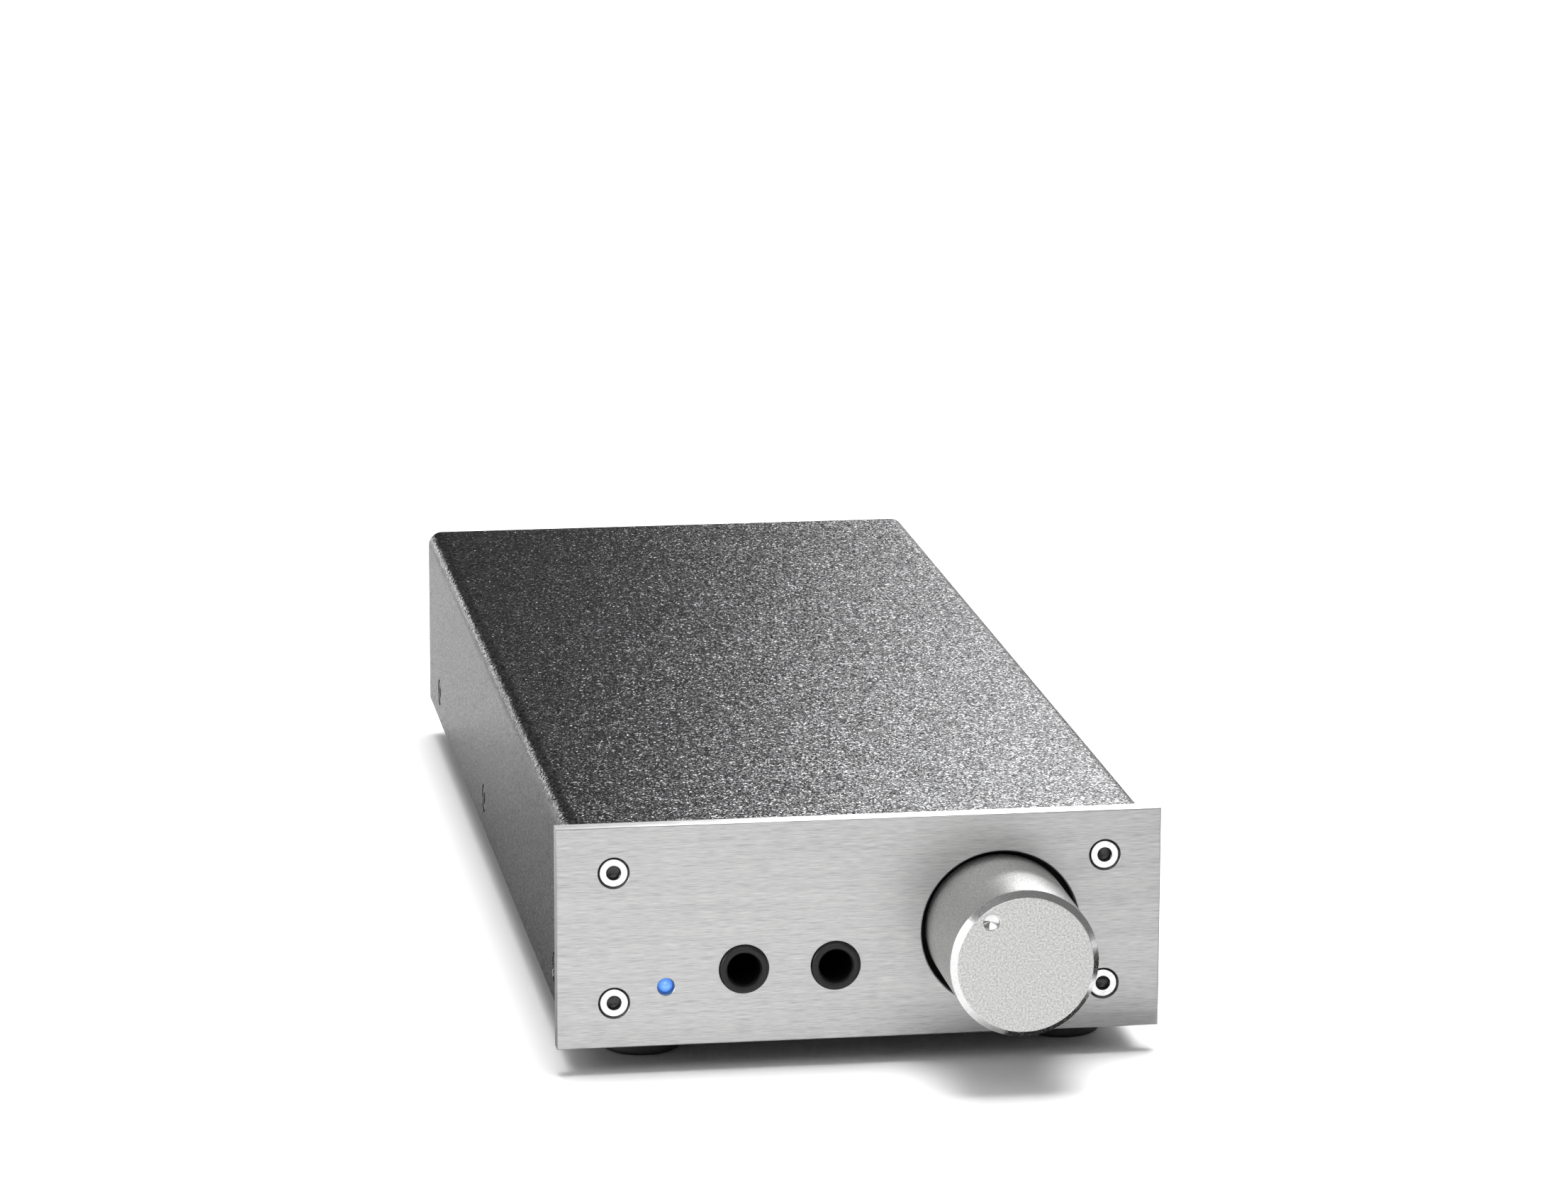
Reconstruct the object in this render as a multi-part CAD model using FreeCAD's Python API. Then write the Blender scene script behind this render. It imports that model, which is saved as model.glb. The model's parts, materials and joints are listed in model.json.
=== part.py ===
"""Desktop headphone amplifier: folded steel case, aluminium front panel, one turned volume knob.

Millimetres, +Z up. The origin is on the table plane, midway between the knob's front face and the
ends of the rear sockets. The front panel faces -Y, and +X is to the right as seen from the front.
"""
import FreeCAD, Part
import math
import os

V = FreeCAD.Vector
X, Y, Z = V(1, 0, 0), V(0, 1, 0), V(0, 0, 1)

# ---- driving dimensions ------------------------------------------------------------------------
PANEL_W, PANEL_H, PANEL_T = 120.0, 44.5, 4.0
PANEL_EDGE = 0.3            # bevel round the front face
FOOT_DROP = 5.5             # the feet reach this far below the front panel
BODY_L = 280.0              # case behind the front panel
SHEET = 1.5                 # steel sheet of cover and tray
COVER_W = 115.7
COVER_TOP_DROP = 0.7        # cover lies this far below the panel's top edge
COVER_BEND = 3.2            # outside radius of the cover's two bends
FOOT_H, FOOT_R = 8.6, 8.0
LIP_H = 11.0                # tray's side lips above its floor
REAR_INSET = 1.0            # rear wall stands this far inside the cover's end

KNOB_R, KNOB_REACH = 14.65, 26.0
KNOB_EDGE, KNOB_EDGE_ROUND = 1.3, 0.35       # bevel of the front edge, and the rounding of its two rims
KNOB_X, KNOB_Z = 28.0, 21.1                 # from the panel's middle and its lower edge
KNOB_HOLE_R = 15.8
KNOB_SINK = 2.5                             # the knob's back lies this far behind the panel face
DIMPLE_R, DIMPLE_OFFSET, DIMPLE_TURN = 1.6, 11.1, 37.6
JACK_X = (-23.1, -4.9)
JACK_Z = 15.0
JACK_BORE_R, JACK_NOSE_R, JACK_PROUD = 3.25, 4.8, 0.8
LED_X, LED_Z, LED_R = -38.5, 12.0, 1.5
PANEL_SCREW_X, PANEL_SCREW_Z = 48.75, (9.1, 35.4)
SIDE_SCREW_Y = (23.5, 159.0, 260.0)         # behind the panel's front face
SIDE_SCREW_Z = 15.5
SOCKET_REACH = 11.0                         # rear sockets stand this far out of the rear wall

# ---- frame -------------------------------------------------------------------------------------
TOTAL_L = KNOB_REACH + PANEL_T + BODY_L - REAR_INSET + SOCKET_REACH
FRONT_Y = -TOTAL_L / 2 + KNOB_REACH         # front face of the panel
CASE_Y = FRONT_Y + PANEL_T                  # back of the panel, front of the case
CASE_END_Y = CASE_Y + BODY_L
WALL_Y = CASE_END_Y - REAR_INSET            # outer face of the rear wall
FLANGE_Y = CASE_Y + SHEET                   # inner face of the tray's front flange
WALL_IN_Y = WALL_Y - SHEET
PANEL_Z0 = FOOT_DROP
COVER_TOP = PANEL_Z0 + PANEL_H - COVER_TOP_DROP
CEILING = COVER_TOP - SHEET
FLOOR = FOOT_H + SHEET                      # upper face of the tray's floor
TRAY_W = COVER_W - 2 * SHEET
LIP_IN = TRAY_W / 2 - SHEET                 # inner face of a side lip
FOOT_X = (-41.0, 44.0)
FOOT_Y = (FRONT_Y + 19.3, CASE_END_Y - 19.3)

# ---- M3 hardware -------------------------------------------------------------------------------
M3_R, M3_HOLE_R, M3_NUT_AF, M3_NUT_H = 1.5, 1.6, 5.5, 2.4
CSK_MOUTH_R, CSK_HEAD_R, CSK_SINK = 3.15, 2.9, 0.15
HEX_KEY_AF, HEX_KEY_DEPTH = 2.3, 1.2
PAN_HEAD_R, PAN_HEAD_H = 2.8, 2.0

# ---- circuit board -----------------------------------------------------------------------------
STANDOFF_H, BOARD_T = 3.0, 1.6
BOARD_Z0 = FLOOR + STANDOFF_H
BOARD_Z1 = BOARD_Z0 + BOARD_T
BOARD_X, BOARD_FRONT_Y, BOARD_STEP_Y, BOARD_REAR_Y = 51.5, FRONT_Y + 10.5, 42.0, WALL_IN_Y - 7.0
BOARD_ARM_X = 18.0                          # the board's narrow rear arm starts here
STANDOFFS = ((-48, -92), (48, -92), (-48, -30), (48, -30), (-48, 36), (23, 36), (35, 134), (48, 104))

# ---- rear wall ---------------------------------------------------------------------------------
INLET_X, INLET_Z, INLET_W, INLET_H, INLET_DEPTH = -32.0, 28.4, 27.0, 30.0, 28.0
INLET_FLANGE_W, INLET_FLANGE_H, INLET_FLANGE_T = 31.0, 34.0, 2.0
CAVITY_W, CAVITY_H, CAVITY_DEPTH, CAVITY_Z0, CAVITY_BEVEL = 24.2, 16.0, 17.0, 26.3, 4.0
DRAWER_W, DRAWER_H, DRAWER_Z0, DRAWER_LEN, DRAWER_GAP = 22.6, 7.8, 15.1, 26.0, 0.3
FUSE_R, FUSE_L, FUSE_CAP_L = 2.6, 20.0, 5.0
TAB_L, TAB_HALF_T = 7.0, 0.4                # blade tabs behind the inlet and the switch
SWITCH_X, SWITCH_Z, SWITCH_W, SWITCH_H, SWITCH_DEPTH = 2.0, 28.4, 13.0, 19.0, 17.0
ROCKER_W, ROCKER_TILT, ROCKER_PIN_R = 10.4, 12.0, 1.2
SOCKET_X, SOCKET_Z = (25.0, 45.0), (20.5, 37.0)
SOCKET_BARREL_R, SOCKET_THREAD_R, SOCKET_FLANGE_R = 4.15, 4.0, 6.0

# ---- transformer -------------------------------------------------------------------------------
COIL_X, COIL_Y, COIL_R, COIL_BORE_R, COIL_H = -18.0, 76.0, 33.0, 9.0, 28.0
PAD_T, PLATE_T, M5_R = 1.5, 1.5, 2.5


def box(x0, y0, z0, x1, y1, z1):
    return Part.makeBox(x1 - x0, y1 - y0, z1 - z0, V(x0, y0, z0))


def rod(base, axis, radius, length):
    return Part.makeCylinder(radius, length, base, axis)


def cone(base, axis, radius0, radius1, length):
    return Part.makeCone(radius0, radius1, length, base, axis)


def tube(base, axis, outer, inner, length):
    return rod(base, axis, outer, length).cut(rod(base, axis, inner, length))


def hex_rod(base, axis, across_flats, length):
    """Hexagonal prism standing on base along axis."""
    side = Z if abs(axis.z) < 0.5 else X
    across = side.cross(axis)
    radius = across_flats / math.sqrt(3)
    turns = [math.radians(60 * i) for i in range(7)]
    ring = [base + side * (radius * math.cos(t)) + across * (radius * math.sin(t)) for t in turns]
    return Part.Face(Part.makePolygon(ring)).extrude(axis * length)


def nut(base, axis, across_flats=M3_NUT_AF, height=M3_NUT_H, bore=M3_R):
    return hex_rod(base, axis, across_flats, height).cut(rod(base, axis, bore, height))


def prism(points, direction):
    """Closed polygon extruded along direction."""
    return Part.Face(Part.makePolygon(points + points[:1])).extrude(direction)


def along(shape, test, size, round_off=True):
    """Round or bevel the straight and circular edges whose centre passes test."""
    edges = [e for e in shape.Edges if test(e)]
    return shape.makeFillet(size, edges) if round_off else shape.makeChamfer(size, edges)


def wire(points, radius, bend):
    """Insulated lead: straight runs joined by tangent arcs of one bend radius."""
    path = []
    here = points[0]
    for before, corner, after in zip(points, points[1:], points[2:]):
        back = (before - corner).normalize()
        ahead = (after - corner).normalize()
        half = back.getAngle(ahead) / 2
        reach = bend / math.tan(half)
        centre = corner + (back + ahead).normalize() * (bend / math.sin(half))
        enter = corner + back * reach
        leave = corner + ahead * reach
        middle = centre + (corner - centre).normalize() * bend
        path.append(Part.LineSegment(here, enter).toShape())
        path.append(Part.Arc(enter, middle, leave).toShape())
        here = leave
    path.append(Part.LineSegment(here, points[-1]).toShape())
    start = (points[1] - points[0]).normalize()
    section = Part.Wire(Part.makeCircle(radius, points[0], start))
    return Part.Wire(path).makePipeShell([section], True, False)


def countersink(face_point, inward):
    """Screw hole through a sheet, with a cone at its mouth."""
    depth = CSK_MOUTH_R - M3_HOLE_R
    return [cone(face_point, inward, CSK_MOUTH_R, M3_HOLE_R, depth),
            rod(face_point, inward, M3_HOLE_R, PANEL_T + 2 * SHEET)]


def countersunk_screw(face_point, inward, length):
    """M3 screw whose flat head lies just under the face; length counts from the face."""
    head = face_point + inward * CSK_SINK
    cone_h = CSK_HEAD_R - M3_R
    screw = cone(head, inward, CSK_HEAD_R, M3_R, cone_h)
    screw = screw.fuse(rod(head + inward * cone_h, inward, M3_R, length - CSK_SINK - cone_h))
    return screw.cut(hex_rod(head, inward, HEX_KEY_AF, HEX_KEY_DEPTH))


def pan_screw(seat, inward, length):
    """M3 screw with a round head outside its seat."""
    head = rod(seat - inward * PAN_HEAD_H, inward, PAN_HEAD_R, PAN_HEAD_H)
    screw = head.fuse(rod(seat, inward, M3_R, length))
    return screw.cut(hex_rod(seat - inward * PAN_HEAD_H, inward, HEX_KEY_AF, HEX_KEY_DEPTH))


def panel_point(x, z, behind=0.0):
    """A point given from the panel's middle and lower edge."""
    return V(x, FRONT_Y + behind, PANEL_Z0 + z)


def panel_screw_points():
    return [panel_point(side * PANEL_SCREW_X, z) for side in (-1, 1) for z in PANEL_SCREW_Z]


def side_screw_points():
    """Face point on the cover and inward direction of each side screw."""
    return [(V(side * COVER_W / 2, FRONT_Y + y, SIDE_SCREW_Z), V(-side, 0, 0))
            for side in (-1, 1) for y in SIDE_SCREW_Y]


def foot_points():
    return [V(x, y, 0) for y in FOOT_Y for x in FOOT_X]


# ---- case --------------------------------------------------------------------------------------
def front_panel():
    plate = box(-PANEL_W / 2, FRONT_Y, PANEL_Z0, PANEL_W / 2, CASE_Y, PANEL_Z0 + PANEL_H)
    plate = along(plate, lambda e: e.CenterOfMass.y < FRONT_Y + 0.01, PANEL_EDGE, False)
    holes = [rod(panel_point(KNOB_X, KNOB_Z), Y, KNOB_HOLE_R, PANEL_T)]
    holes += [rod(panel_point(x, JACK_Z), Y, JACK_NOSE_R + 0.1, PANEL_T) for x in JACK_X]
    holes.append(rod(panel_point(LED_X, LED_Z), Y, LED_R + 0.2, PANEL_T))
    for point in panel_screw_points():
        holes += countersink(point, Y)
    return plate.cut(holes)


def upper_corners(top, half_width):
    """Test for the edges that run along Y at the two upper corners of a box."""
    return lambda e: e.CenterOfMass.z > top - 0.01 and abs(e.CenterOfMass.x) > half_width - 0.01


def top_cover():
    """U-shaped sheet: top and two sides, bent with a small radius."""
    half = COVER_W / 2
    outer = box(-half, CASE_Y, FOOT_H, half, CASE_END_Y, COVER_TOP)
    outer = along(outer, upper_corners(COVER_TOP, half), COVER_BEND)
    inner = box(-half + SHEET, CASE_Y, FOOT_H, half - SHEET, CASE_END_Y, CEILING)
    inner = along(inner, upper_corners(CEILING, half - SHEET), COVER_BEND - SHEET)
    cover = outer.cut(inner)
    holes = []
    for point, inward in side_screw_points():
        holes += countersink(point, inward)
    return cover.cut(holes)


def wall_openings():
    """Cut-outs of the rear wall: inlet, switch and four sockets."""
    gap = 0.1
    cuts = []
    for x, z, w, h in ((INLET_X, INLET_Z, INLET_W, INLET_H), (SWITCH_X, SWITCH_Z, SWITCH_W, SWITCH_H)):
        half_w, half_h = w / 2 + gap, h / 2 + gap
        cuts.append(box(x - half_w, WALL_IN_Y, z - half_h, x + half_w, WALL_Y, z + half_h))
    cuts += [rod(V(x, WALL_IN_Y, z), Y, SOCKET_THREAD_R + 0.6, SHEET) for x in SOCKET_X for z in SOCKET_Z]
    return cuts


def base_tray():
    """Folded tray: floor, front flange, rear wall and two side lips."""
    half = TRAY_W / 2
    top = CEILING - 0.2
    floor = box(-half, CASE_Y, FOOT_H, half, WALL_Y, FLOOR)
    flange = box(-half, CASE_Y, FLOOR, half, FLANGE_Y, top)
    wall = box(-half, WALL_IN_Y, FLOOR, half, WALL_Y, top)
    corner_r = COVER_BEND - SHEET + 0.3
    flange, wall = [along(sheet, upper_corners(top, half), corner_r) for sheet in (flange, wall)]
    lips = [box(x, FLANGE_Y, FLOOR, x + SHEET, WALL_IN_Y, FLOOR + LIP_H) for x in (-half, LIP_IN)]
    tray = floor.fuse([flange, wall] + lips).removeSplitter()
    cuts = wall_openings()
    cuts.append(rod(panel_point(KNOB_X, KNOB_Z, PANEL_T), Y, BUSH_R + 0.1, SHEET))
    cuts += [rod(panel_point(x, JACK_Z, PANEL_T), Y, JACK_NOSE_R + 0.1, SHEET) for x in JACK_X]
    cuts.append(rod(panel_point(LED_X, LED_Z, PANEL_T), Y, LED_R + 0.2, SHEET))
    cuts += [rod(point + Y * PANEL_T, Y, M3_HOLE_R, SHEET) for point in panel_screw_points()]
    cuts += [rod(point + inward * SHEET, inward, M3_HOLE_R, SHEET) for point, inward in side_screw_points()]
    cuts += [rod(point + Z * FOOT_H, Z, M3_HOLE_R, SHEET) for point in foot_points()]
    cuts.append(rod(V(COIL_X, COIL_Y, FOOT_H), Z, M5_R + 0.1, SHEET))
    return tray.cut(cuts)


def foot(point):
    """Rubber foot with a rounded rim and a recess for its screw."""
    body = rod(point, Z, FOOT_R, FOOT_H)
    body = along(body, lambda e: e.BoundBox.ZMax < 0.01 and e.BoundBox.XLength > FOOT_R, 0.8)
    return body.cut([rod(point, Z, 3.6, 4.0), rod(point, Z, M3_HOLE_R, FOOT_H)])


def foot_screw(point):
    return pan_screw(point + Z * 4.0, Z, 8.8)


def press_nuts():
    """Nuts behind the panel, inside the side lips and over the feet."""
    nuts = [nut(point + Y * (PANEL_T + SHEET), Y) for point in panel_screw_points()]
    nuts += [nut(point + inward * (2 * SHEET), inward) for point, inward in side_screw_points()]
    nuts += [nut(point + Z * FLOOR, Z) for point in foot_points()]
    return nuts


# ---- volume control ----------------------------------------------------------------------------
BUSH_R, BUSH_REACH, SHAFT_R, SHAFT_FIT = 4.0, 8.0, 3.0, 0.04
POT_W, POT_FRAME_T, POT_DEPTH, POT_TOP = 26.0, 3.0, 24.0, BOARD_Z1 + 25.0
ROTOR_R, ROTOR_T, ROTOR_GAP, ROTOR_BEHIND = 9.5, 3.0, 0.7, 9.0
SHAFT_FRONT = 20.0                          # the shaft ends this far in front of the panel face
SET_SCREW_AHEAD = 12.0
WASHER_T = 0.6


def knob_axis_point(behind):
    return panel_point(KNOB_X, KNOB_Z, behind)


def volume_knob():
    """Plain turned cylinder, bevelled at the front, with a drilled dimple as its pointer."""
    front = FRONT_Y - KNOB_REACH
    body = rod(knob_axis_point(-KNOB_REACH), Y, KNOB_R, KNOB_REACH + KNOB_SINK)
    body = along(body, lambda e: e.BoundBox.YMax < front + 0.01, KNOB_EDGE, False)
    rims = lambda e: e.BoundBox.YMax < front + KNOB_EDGE + 0.01 and e.BoundBox.XLength > KNOB_R
    body = along(body, rims, KNOB_EDGE_ROUND)
    turn = math.radians(DIMPLE_TURN)
    mark = knob_axis_point(-KNOB_REACH) + V(-math.sin(turn), 0, math.cos(turn)) * DIMPLE_OFFSET
    recess = rod(knob_axis_point(KNOB_SINK), -Y, 8.5, 7.0)
    bore = rod(knob_axis_point(KNOB_SINK), -Y, SHAFT_R, KNOB_SINK + SHAFT_FRONT)
    screw_hole = rod(knob_axis_point(-SET_SCREW_AHEAD), -Z, M3_R, KNOB_R)
    return body.cut([cone(mark, Y, DIMPLE_R, 0.05, 1.0), recess, bore, screw_hole])


def knob_set_screw():
    start = knob_axis_point(-SET_SCREW_AHEAD) - Z * SHAFT_R
    length = 6.0
    screw = rod(start, -Z, M3_R, length)
    return screw.cut([hex_rod(start - Z * length, Z, 1.5, 1.8),
                      rod(knob_axis_point(-SET_SCREW_AHEAD - 3.0), Y, SHAFT_R, 6.0)])


def potentiometer_shaft():
    return rod(knob_axis_point(-SHAFT_FRONT), Y, SHAFT_R, SHAFT_FRONT + PANEL_T + SHEET + ROTOR_BEHIND + 5.0)


def rotor_point():
    return knob_axis_point(PANEL_T + SHEET + ROTOR_BEHIND)


def potentiometer_rotor():
    """Wiper disc inside the housing, fixed on the shaft."""
    return tube(rotor_point(), Y, ROTOR_R, SHAFT_R, ROTOR_T)


def potentiometer_frame():
    """Front plate with its threaded bush, held to the tray's flange."""
    plate = box(KNOB_X - POT_W / 2, FLANGE_Y, BOARD_Z1, KNOB_X + POT_W / 2, FLANGE_Y + POT_FRAME_T, POT_TOP)
    bush = rod(knob_axis_point(PANEL_T + SHEET - BUSH_REACH), Y, BUSH_R, BUSH_REACH)
    frame = plate.fuse(bush)
    return frame.cut(rod(knob_axis_point(-BUSH_REACH), Y, SHAFT_R + SHAFT_FIT, 4 * BUSH_REACH))


def potentiometer_housing():
    y0 = FLANGE_Y + POT_FRAME_T
    body = box(KNOB_X - POT_W / 2, y0, BOARD_Z1, KNOB_X + POT_W / 2, FLANGE_Y + POT_DEPTH, POT_TOP)
    body = along(body, lambda e: e.CenterOfMass.y > FLANGE_Y + POT_DEPTH - 0.01, 1.0, False)
    room = rod(rotor_point() - Y * ROTOR_GAP, Y, ROTOR_R + ROTOR_GAP, ROTOR_T + 2 * ROTOR_GAP)
    shaft_way = rod(V(KNOB_X, y0, PANEL_Z0 + KNOB_Z), Y, SHAFT_R + 0.3, ROTOR_BEHIND + 3.5)
    return body.cut([room, shaft_way])


def potentiometer_nut():
    seat = knob_axis_point(PANEL_T - WASHER_T)
    return nut(seat, -Y, 11.0, 2.0, BUSH_R)


def potentiometer_washer():
    return tube(knob_axis_point(PANEL_T - WASHER_T), Y, 6.5, BUSH_R, WASHER_T)


def potentiometer_pins():
    xs = [KNOB_X - 7.5 + 5.0 * i for i in range(4)]
    return [box(x - 0.4, y - 0.4, BOARD_Z0 - 1.5, x + 0.4, y + 0.4, BOARD_Z1)
            for x in xs for y in (FLANGE_Y + 10.0, FLANGE_Y + 18.0)]


# ---- headphone jacks and power lamp ------------------------------------------------------------
JACK_W, JACK_LEN, JACK_BORE_LEN, JACK_BEVEL = 15.6, 31.5, 33.0, 0.23
CONTACT_W, CONTACT_T, CONTACT_GAP = 2.4, 0.6, 0.2


def jack_contact_blocks(x):
    """Three flat springs beside the bore: tip at the back, then ring, then sleeve."""
    blocks = []
    for side, behind in ((-1, 14.0), (1, 20.0), (-1, 27.0)):
        inner = x + side * (JACK_BORE_R + CONTACT_GAP)
        outer = inner + side * CONTACT_T
        y = FRONT_Y + behind
        top = PANEL_Z0 + JACK_Z + 1.2
        blocks.append(box(min(inner, outer), y, BOARD_Z1, max(inner, outer), y + CONTACT_W, top))
    return blocks


def headphone_jack(x):
    """Moulded 6.35 mm jack: nose through the panel, long body on the board."""
    mouth = panel_point(x, JACK_Z, -JACK_PROUD)
    centre_z = PANEL_Z0 + JACK_Z
    nose = rod(mouth, Y, JACK_NOSE_R, JACK_PROUD + PANEL_T + SHEET)
    nose = along(nose, lambda e: e.BoundBox.YMax < mouth.y + 0.01, 0.5)
    half, top = JACK_W / 2, 2 * centre_z - BOARD_Z1
    body = box(x - half, FLANGE_Y, BOARD_Z1, x + half, FLANGE_Y + JACK_LEN, top)
    body = along(body, lambda e: e.CenterOfMass.z > top - 0.01, 1.0)
    bore = rod(mouth, Y, JACK_BORE_R, JACK_BORE_LEN)
    bevel = cone(mouth, Y, JACK_BORE_R + JACK_BEVEL, JACK_BORE_R, JACK_BEVEL)
    windows = []
    for block in jack_contact_blocks(x):
        b = block.BoundBox
        windows.append(box(min(b.XMin, x), b.YMin, centre_z - 1.2, max(b.XMax, x), b.YMax, centre_z + 1.2))
    return nose.fuse(body).cut([bore, bevel] + windows + jack_contact_blocks(x))


def jack_contacts(x):
    contacts = []
    for block in jack_contact_blocks(x):
        b = block.BoundBox
        y = (b.YMin + b.YMax) / 2
        pin = box(b.XMin, y - 0.5, BOARD_Z0 - 1.5, b.XMax, y + 0.5, BOARD_Z1)
        contacts.append(block.fuse(pin).removeSplitter())
    return contacts


LED_FRONT, LED_LEN, LED_FLANGE_R, LED_FLANGE_T = 0.3, 5.5, 1.9, 1.0
LEAD_R, LEAD_SPACE, LEAD_RUN, LEAD_BEND = 0.25, 1.27, 4.0, 1.2


def power_led():
    """3 mm lamp: a dome just below the panel face and a flange behind the tray's flange."""
    tip = panel_point(LED_X, LED_Z, LED_FRONT)
    dome = Part.makeSphere(LED_R, tip + Y * LED_R)
    flange_at = tip + Y * (LED_LEN - LED_FRONT)
    barrel = rod(tip + Y * LED_R, Y, LED_R, LED_LEN - LED_FRONT - LED_R)
    flange = rod(flange_at, Y, LED_FLANGE_R, LED_FLANGE_T)
    return dome.fuse([barrel, flange]).removeSplitter()


def led_leads():
    leads = []
    for side in (-1, 1):
        start = panel_point(LED_X + side * LEAD_SPACE, LED_Z, LED_LEN + LED_FLANGE_T)
        corner = start + Y * LEAD_RUN
        end = V(corner.x, corner.y, BOARD_Z0 - 1.2)
        leads.append(wire([start, corner, end], LEAD_R, LEAD_BEND))
    return leads


# ---- circuit board and what stands on it -------------------------------------------------------
def lead_holes():
    """Clear holes in the board for jack, potentiometer and lamp pins."""
    holes = []
    pins = [s for x in JACK_X for s in jack_contacts(x)] + potentiometer_pins()
    for pin in pins:
        b = pin.BoundBox
        holes.append(rod(V((b.XMin + b.XMax) / 2, (b.YMin + b.YMax) / 2, BOARD_Z0), Z, 0.75, BOARD_T))
    for lead in led_leads():
        b = lead.BoundBox
        holes.append(rod(V((b.XMin + b.XMax) / 2, b.YMax - LEAD_R, BOARD_Z0), Z, 0.5, BOARD_T))
    return holes


def main_board():
    """L-shaped board: full width in front, a narrow arm to the rear sockets."""
    front = box(-BOARD_X, BOARD_FRONT_Y, BOARD_Z0, BOARD_X, BOARD_STEP_Y, BOARD_Z1)
    arm = box(BOARD_ARM_X, BOARD_STEP_Y, BOARD_Z0, BOARD_X, BOARD_REAR_Y, BOARD_Z1)
    holes = [rod(V(x, y, BOARD_Z0), Z, M3_HOLE_R, BOARD_T) for x, y in STANDOFFS]
    return front.fuse(arm).removeSplitter().cut(holes + lead_holes())


def standoffs():
    return [nut(V(x, y, FLOOR), Z, 5.0, STANDOFF_H, M3_R) for x, y in STANDOFFS]


def board_screws():
    return [pan_screw(V(x, y, BOARD_Z1), -Z, BOARD_T + STANDOFF_H - 0.4) for x, y in STANDOFFS]


CAN_R, CAN_H = 8.0, 26.0
HEAT_SINK_X, HEAT_SINK_Y, HEAT_SINK_L, HEAT_SINK_H = 38.0, -78.0, 40.0, 26.0
FIN_T, FIN_H, FIN_COUNT, SINK_BASE = 1.2, 8.0, 6, 2.0
TRANSISTOR_W, TRANSISTOR_H, TRANSISTOR_T, TAB_T = 10.0, 9.0, 3.2, 1.3
TRANSISTOR_Y = (HEAT_SINK_Y + 10.0, HEAT_SINK_Y + 30.0)


def reservoir_capacitors():
    cans = []
    for x in (-33, -11, 11, 33):
        can = rod(V(x, 8, BOARD_Z1), Z, CAN_R, CAN_H)
        can = along(can, lambda e: e.BoundBox.ZMin > BOARD_Z1 + CAN_H - 0.01, 1.2)
        groove = tube(V(x, 8, BOARD_Z1 + CAN_H - 4.0), Z, CAN_R, CAN_R - 0.5, 1.0)
        cans.append(can.cut(groove))
    return cans


def film_capacitors():
    places = [(x, y) for x in (-12, 12) for y in (-84, -52)]
    blocks = [box(x - 5.5, y, BOARD_Z1, x + 5.5, y + 26, BOARD_Z1 + 20) for x, y in places]
    return [along(b, lambda e: e.CenterOfMass.z > BOARD_Z1 + 19.99, 0.8) for b in blocks]


def amplifier_chips():
    """Two 8-pin packages with their legs in the board."""
    chips = []
    for y in (-20.0, -32.0):
        body = box(-4.9, y, BOARD_Z1 + 0.6, 4.9, y + 6.4, BOARD_Z1 + 4.0)
        legs = []
        for i in range(4):
            x = -3.81 + 2.54 * i
            for leg_y in (y - 0.25, y + 6.4):
                legs.append(box(x - 0.25, leg_y, BOARD_Z1, x + 0.25, leg_y + 0.25, BOARD_Z1 + 2.2))
        chips.append(body.fuse(legs).removeSplitter())
    return chips


def heat_sink(side):
    """Finned aluminium extrusion standing on the board; its fins point to the case's side."""
    base_in = side * HEAT_SINK_X
    base_out = side * (HEAT_SINK_X + SINK_BASE)
    low, high = BOARD_Z1, BOARD_Z1 + HEAT_SINK_H
    y0, y1 = HEAT_SINK_Y, HEAT_SINK_Y + HEAT_SINK_L
    base = box(min(base_in, base_out), y0, low, max(base_in, base_out), y1, high)
    fins = []
    for i in range(FIN_COUNT):
        y = y0 + i * (HEAT_SINK_L - FIN_T) / (FIN_COUNT - 1)
        tip = base_out + side * FIN_H
        fins.append(box(min(base_out, tip), y, low, max(base_out, tip), y + FIN_T, high))
    sink = base.fuse(fins).removeSplitter()
    screw_holes = [rod(V(base_in, y, BOARD_Z1 + 19.0), X * side, M3_R, SINK_BASE) for y in TRANSISTOR_Y]
    return sink.cut(screw_holes)


def output_transistors():
    """Four flat packages screwed to the inner faces of the two heat sinks."""
    packages = []
    for side in (-1, 1):
        face = side * HEAT_SINK_X
        tab_in = face - side * TAB_T
        body_in = face - side * (TAB_T + TRANSISTOR_T)
        for y in TRANSISTOR_Y:
            y0, y1 = y - TRANSISTOR_W / 2, y + TRANSISTOR_W / 2
            tab = box(min(face, tab_in), y0, BOARD_Z1 + 6, max(face, tab_in), y1, BOARD_Z1 + 22)
            body = box(min(tab_in, body_in), y0, BOARD_Z1 + 6, max(tab_in, body_in), y1, BOARD_Z1 + 15)
            leg_x = min(tab_in, tab_in - side)
            legs = [box(leg_x, y + d - 0.4, BOARD_Z1, leg_x + 1, y + d + 0.4, BOARD_Z1 + 6)
                    for d in (-2.54, 0, 2.54)]
            package = tab.fuse([body] + legs).removeSplitter()
            packages.append(package.cut(rod(V(tab_in, y, BOARD_Z1 + 19), V(side, 0, 0), M3_HOLE_R, TAB_T)))
    return packages


def transistor_screws():
    return [pan_screw(V(side * (HEAT_SINK_X - TAB_T), y, BOARD_Z1 + 19.0), V(side, 0, 0), TAB_T + SINK_BASE)
            for side in (-1, 1) for y in TRANSISTOR_Y]


def bridge_rectifier():
    block = box(36, 60, BOARD_Z1 + 4, 42, 79, BOARD_Z1 + 18)
    legs = [box(38.6, 62.2 + 4.8 * i, BOARD_Z1, 39.4, 63.0 + 4.8 * i, BOARD_Z1 + 4) for i in range(4)]
    return block.fuse(legs).removeSplitter()


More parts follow.
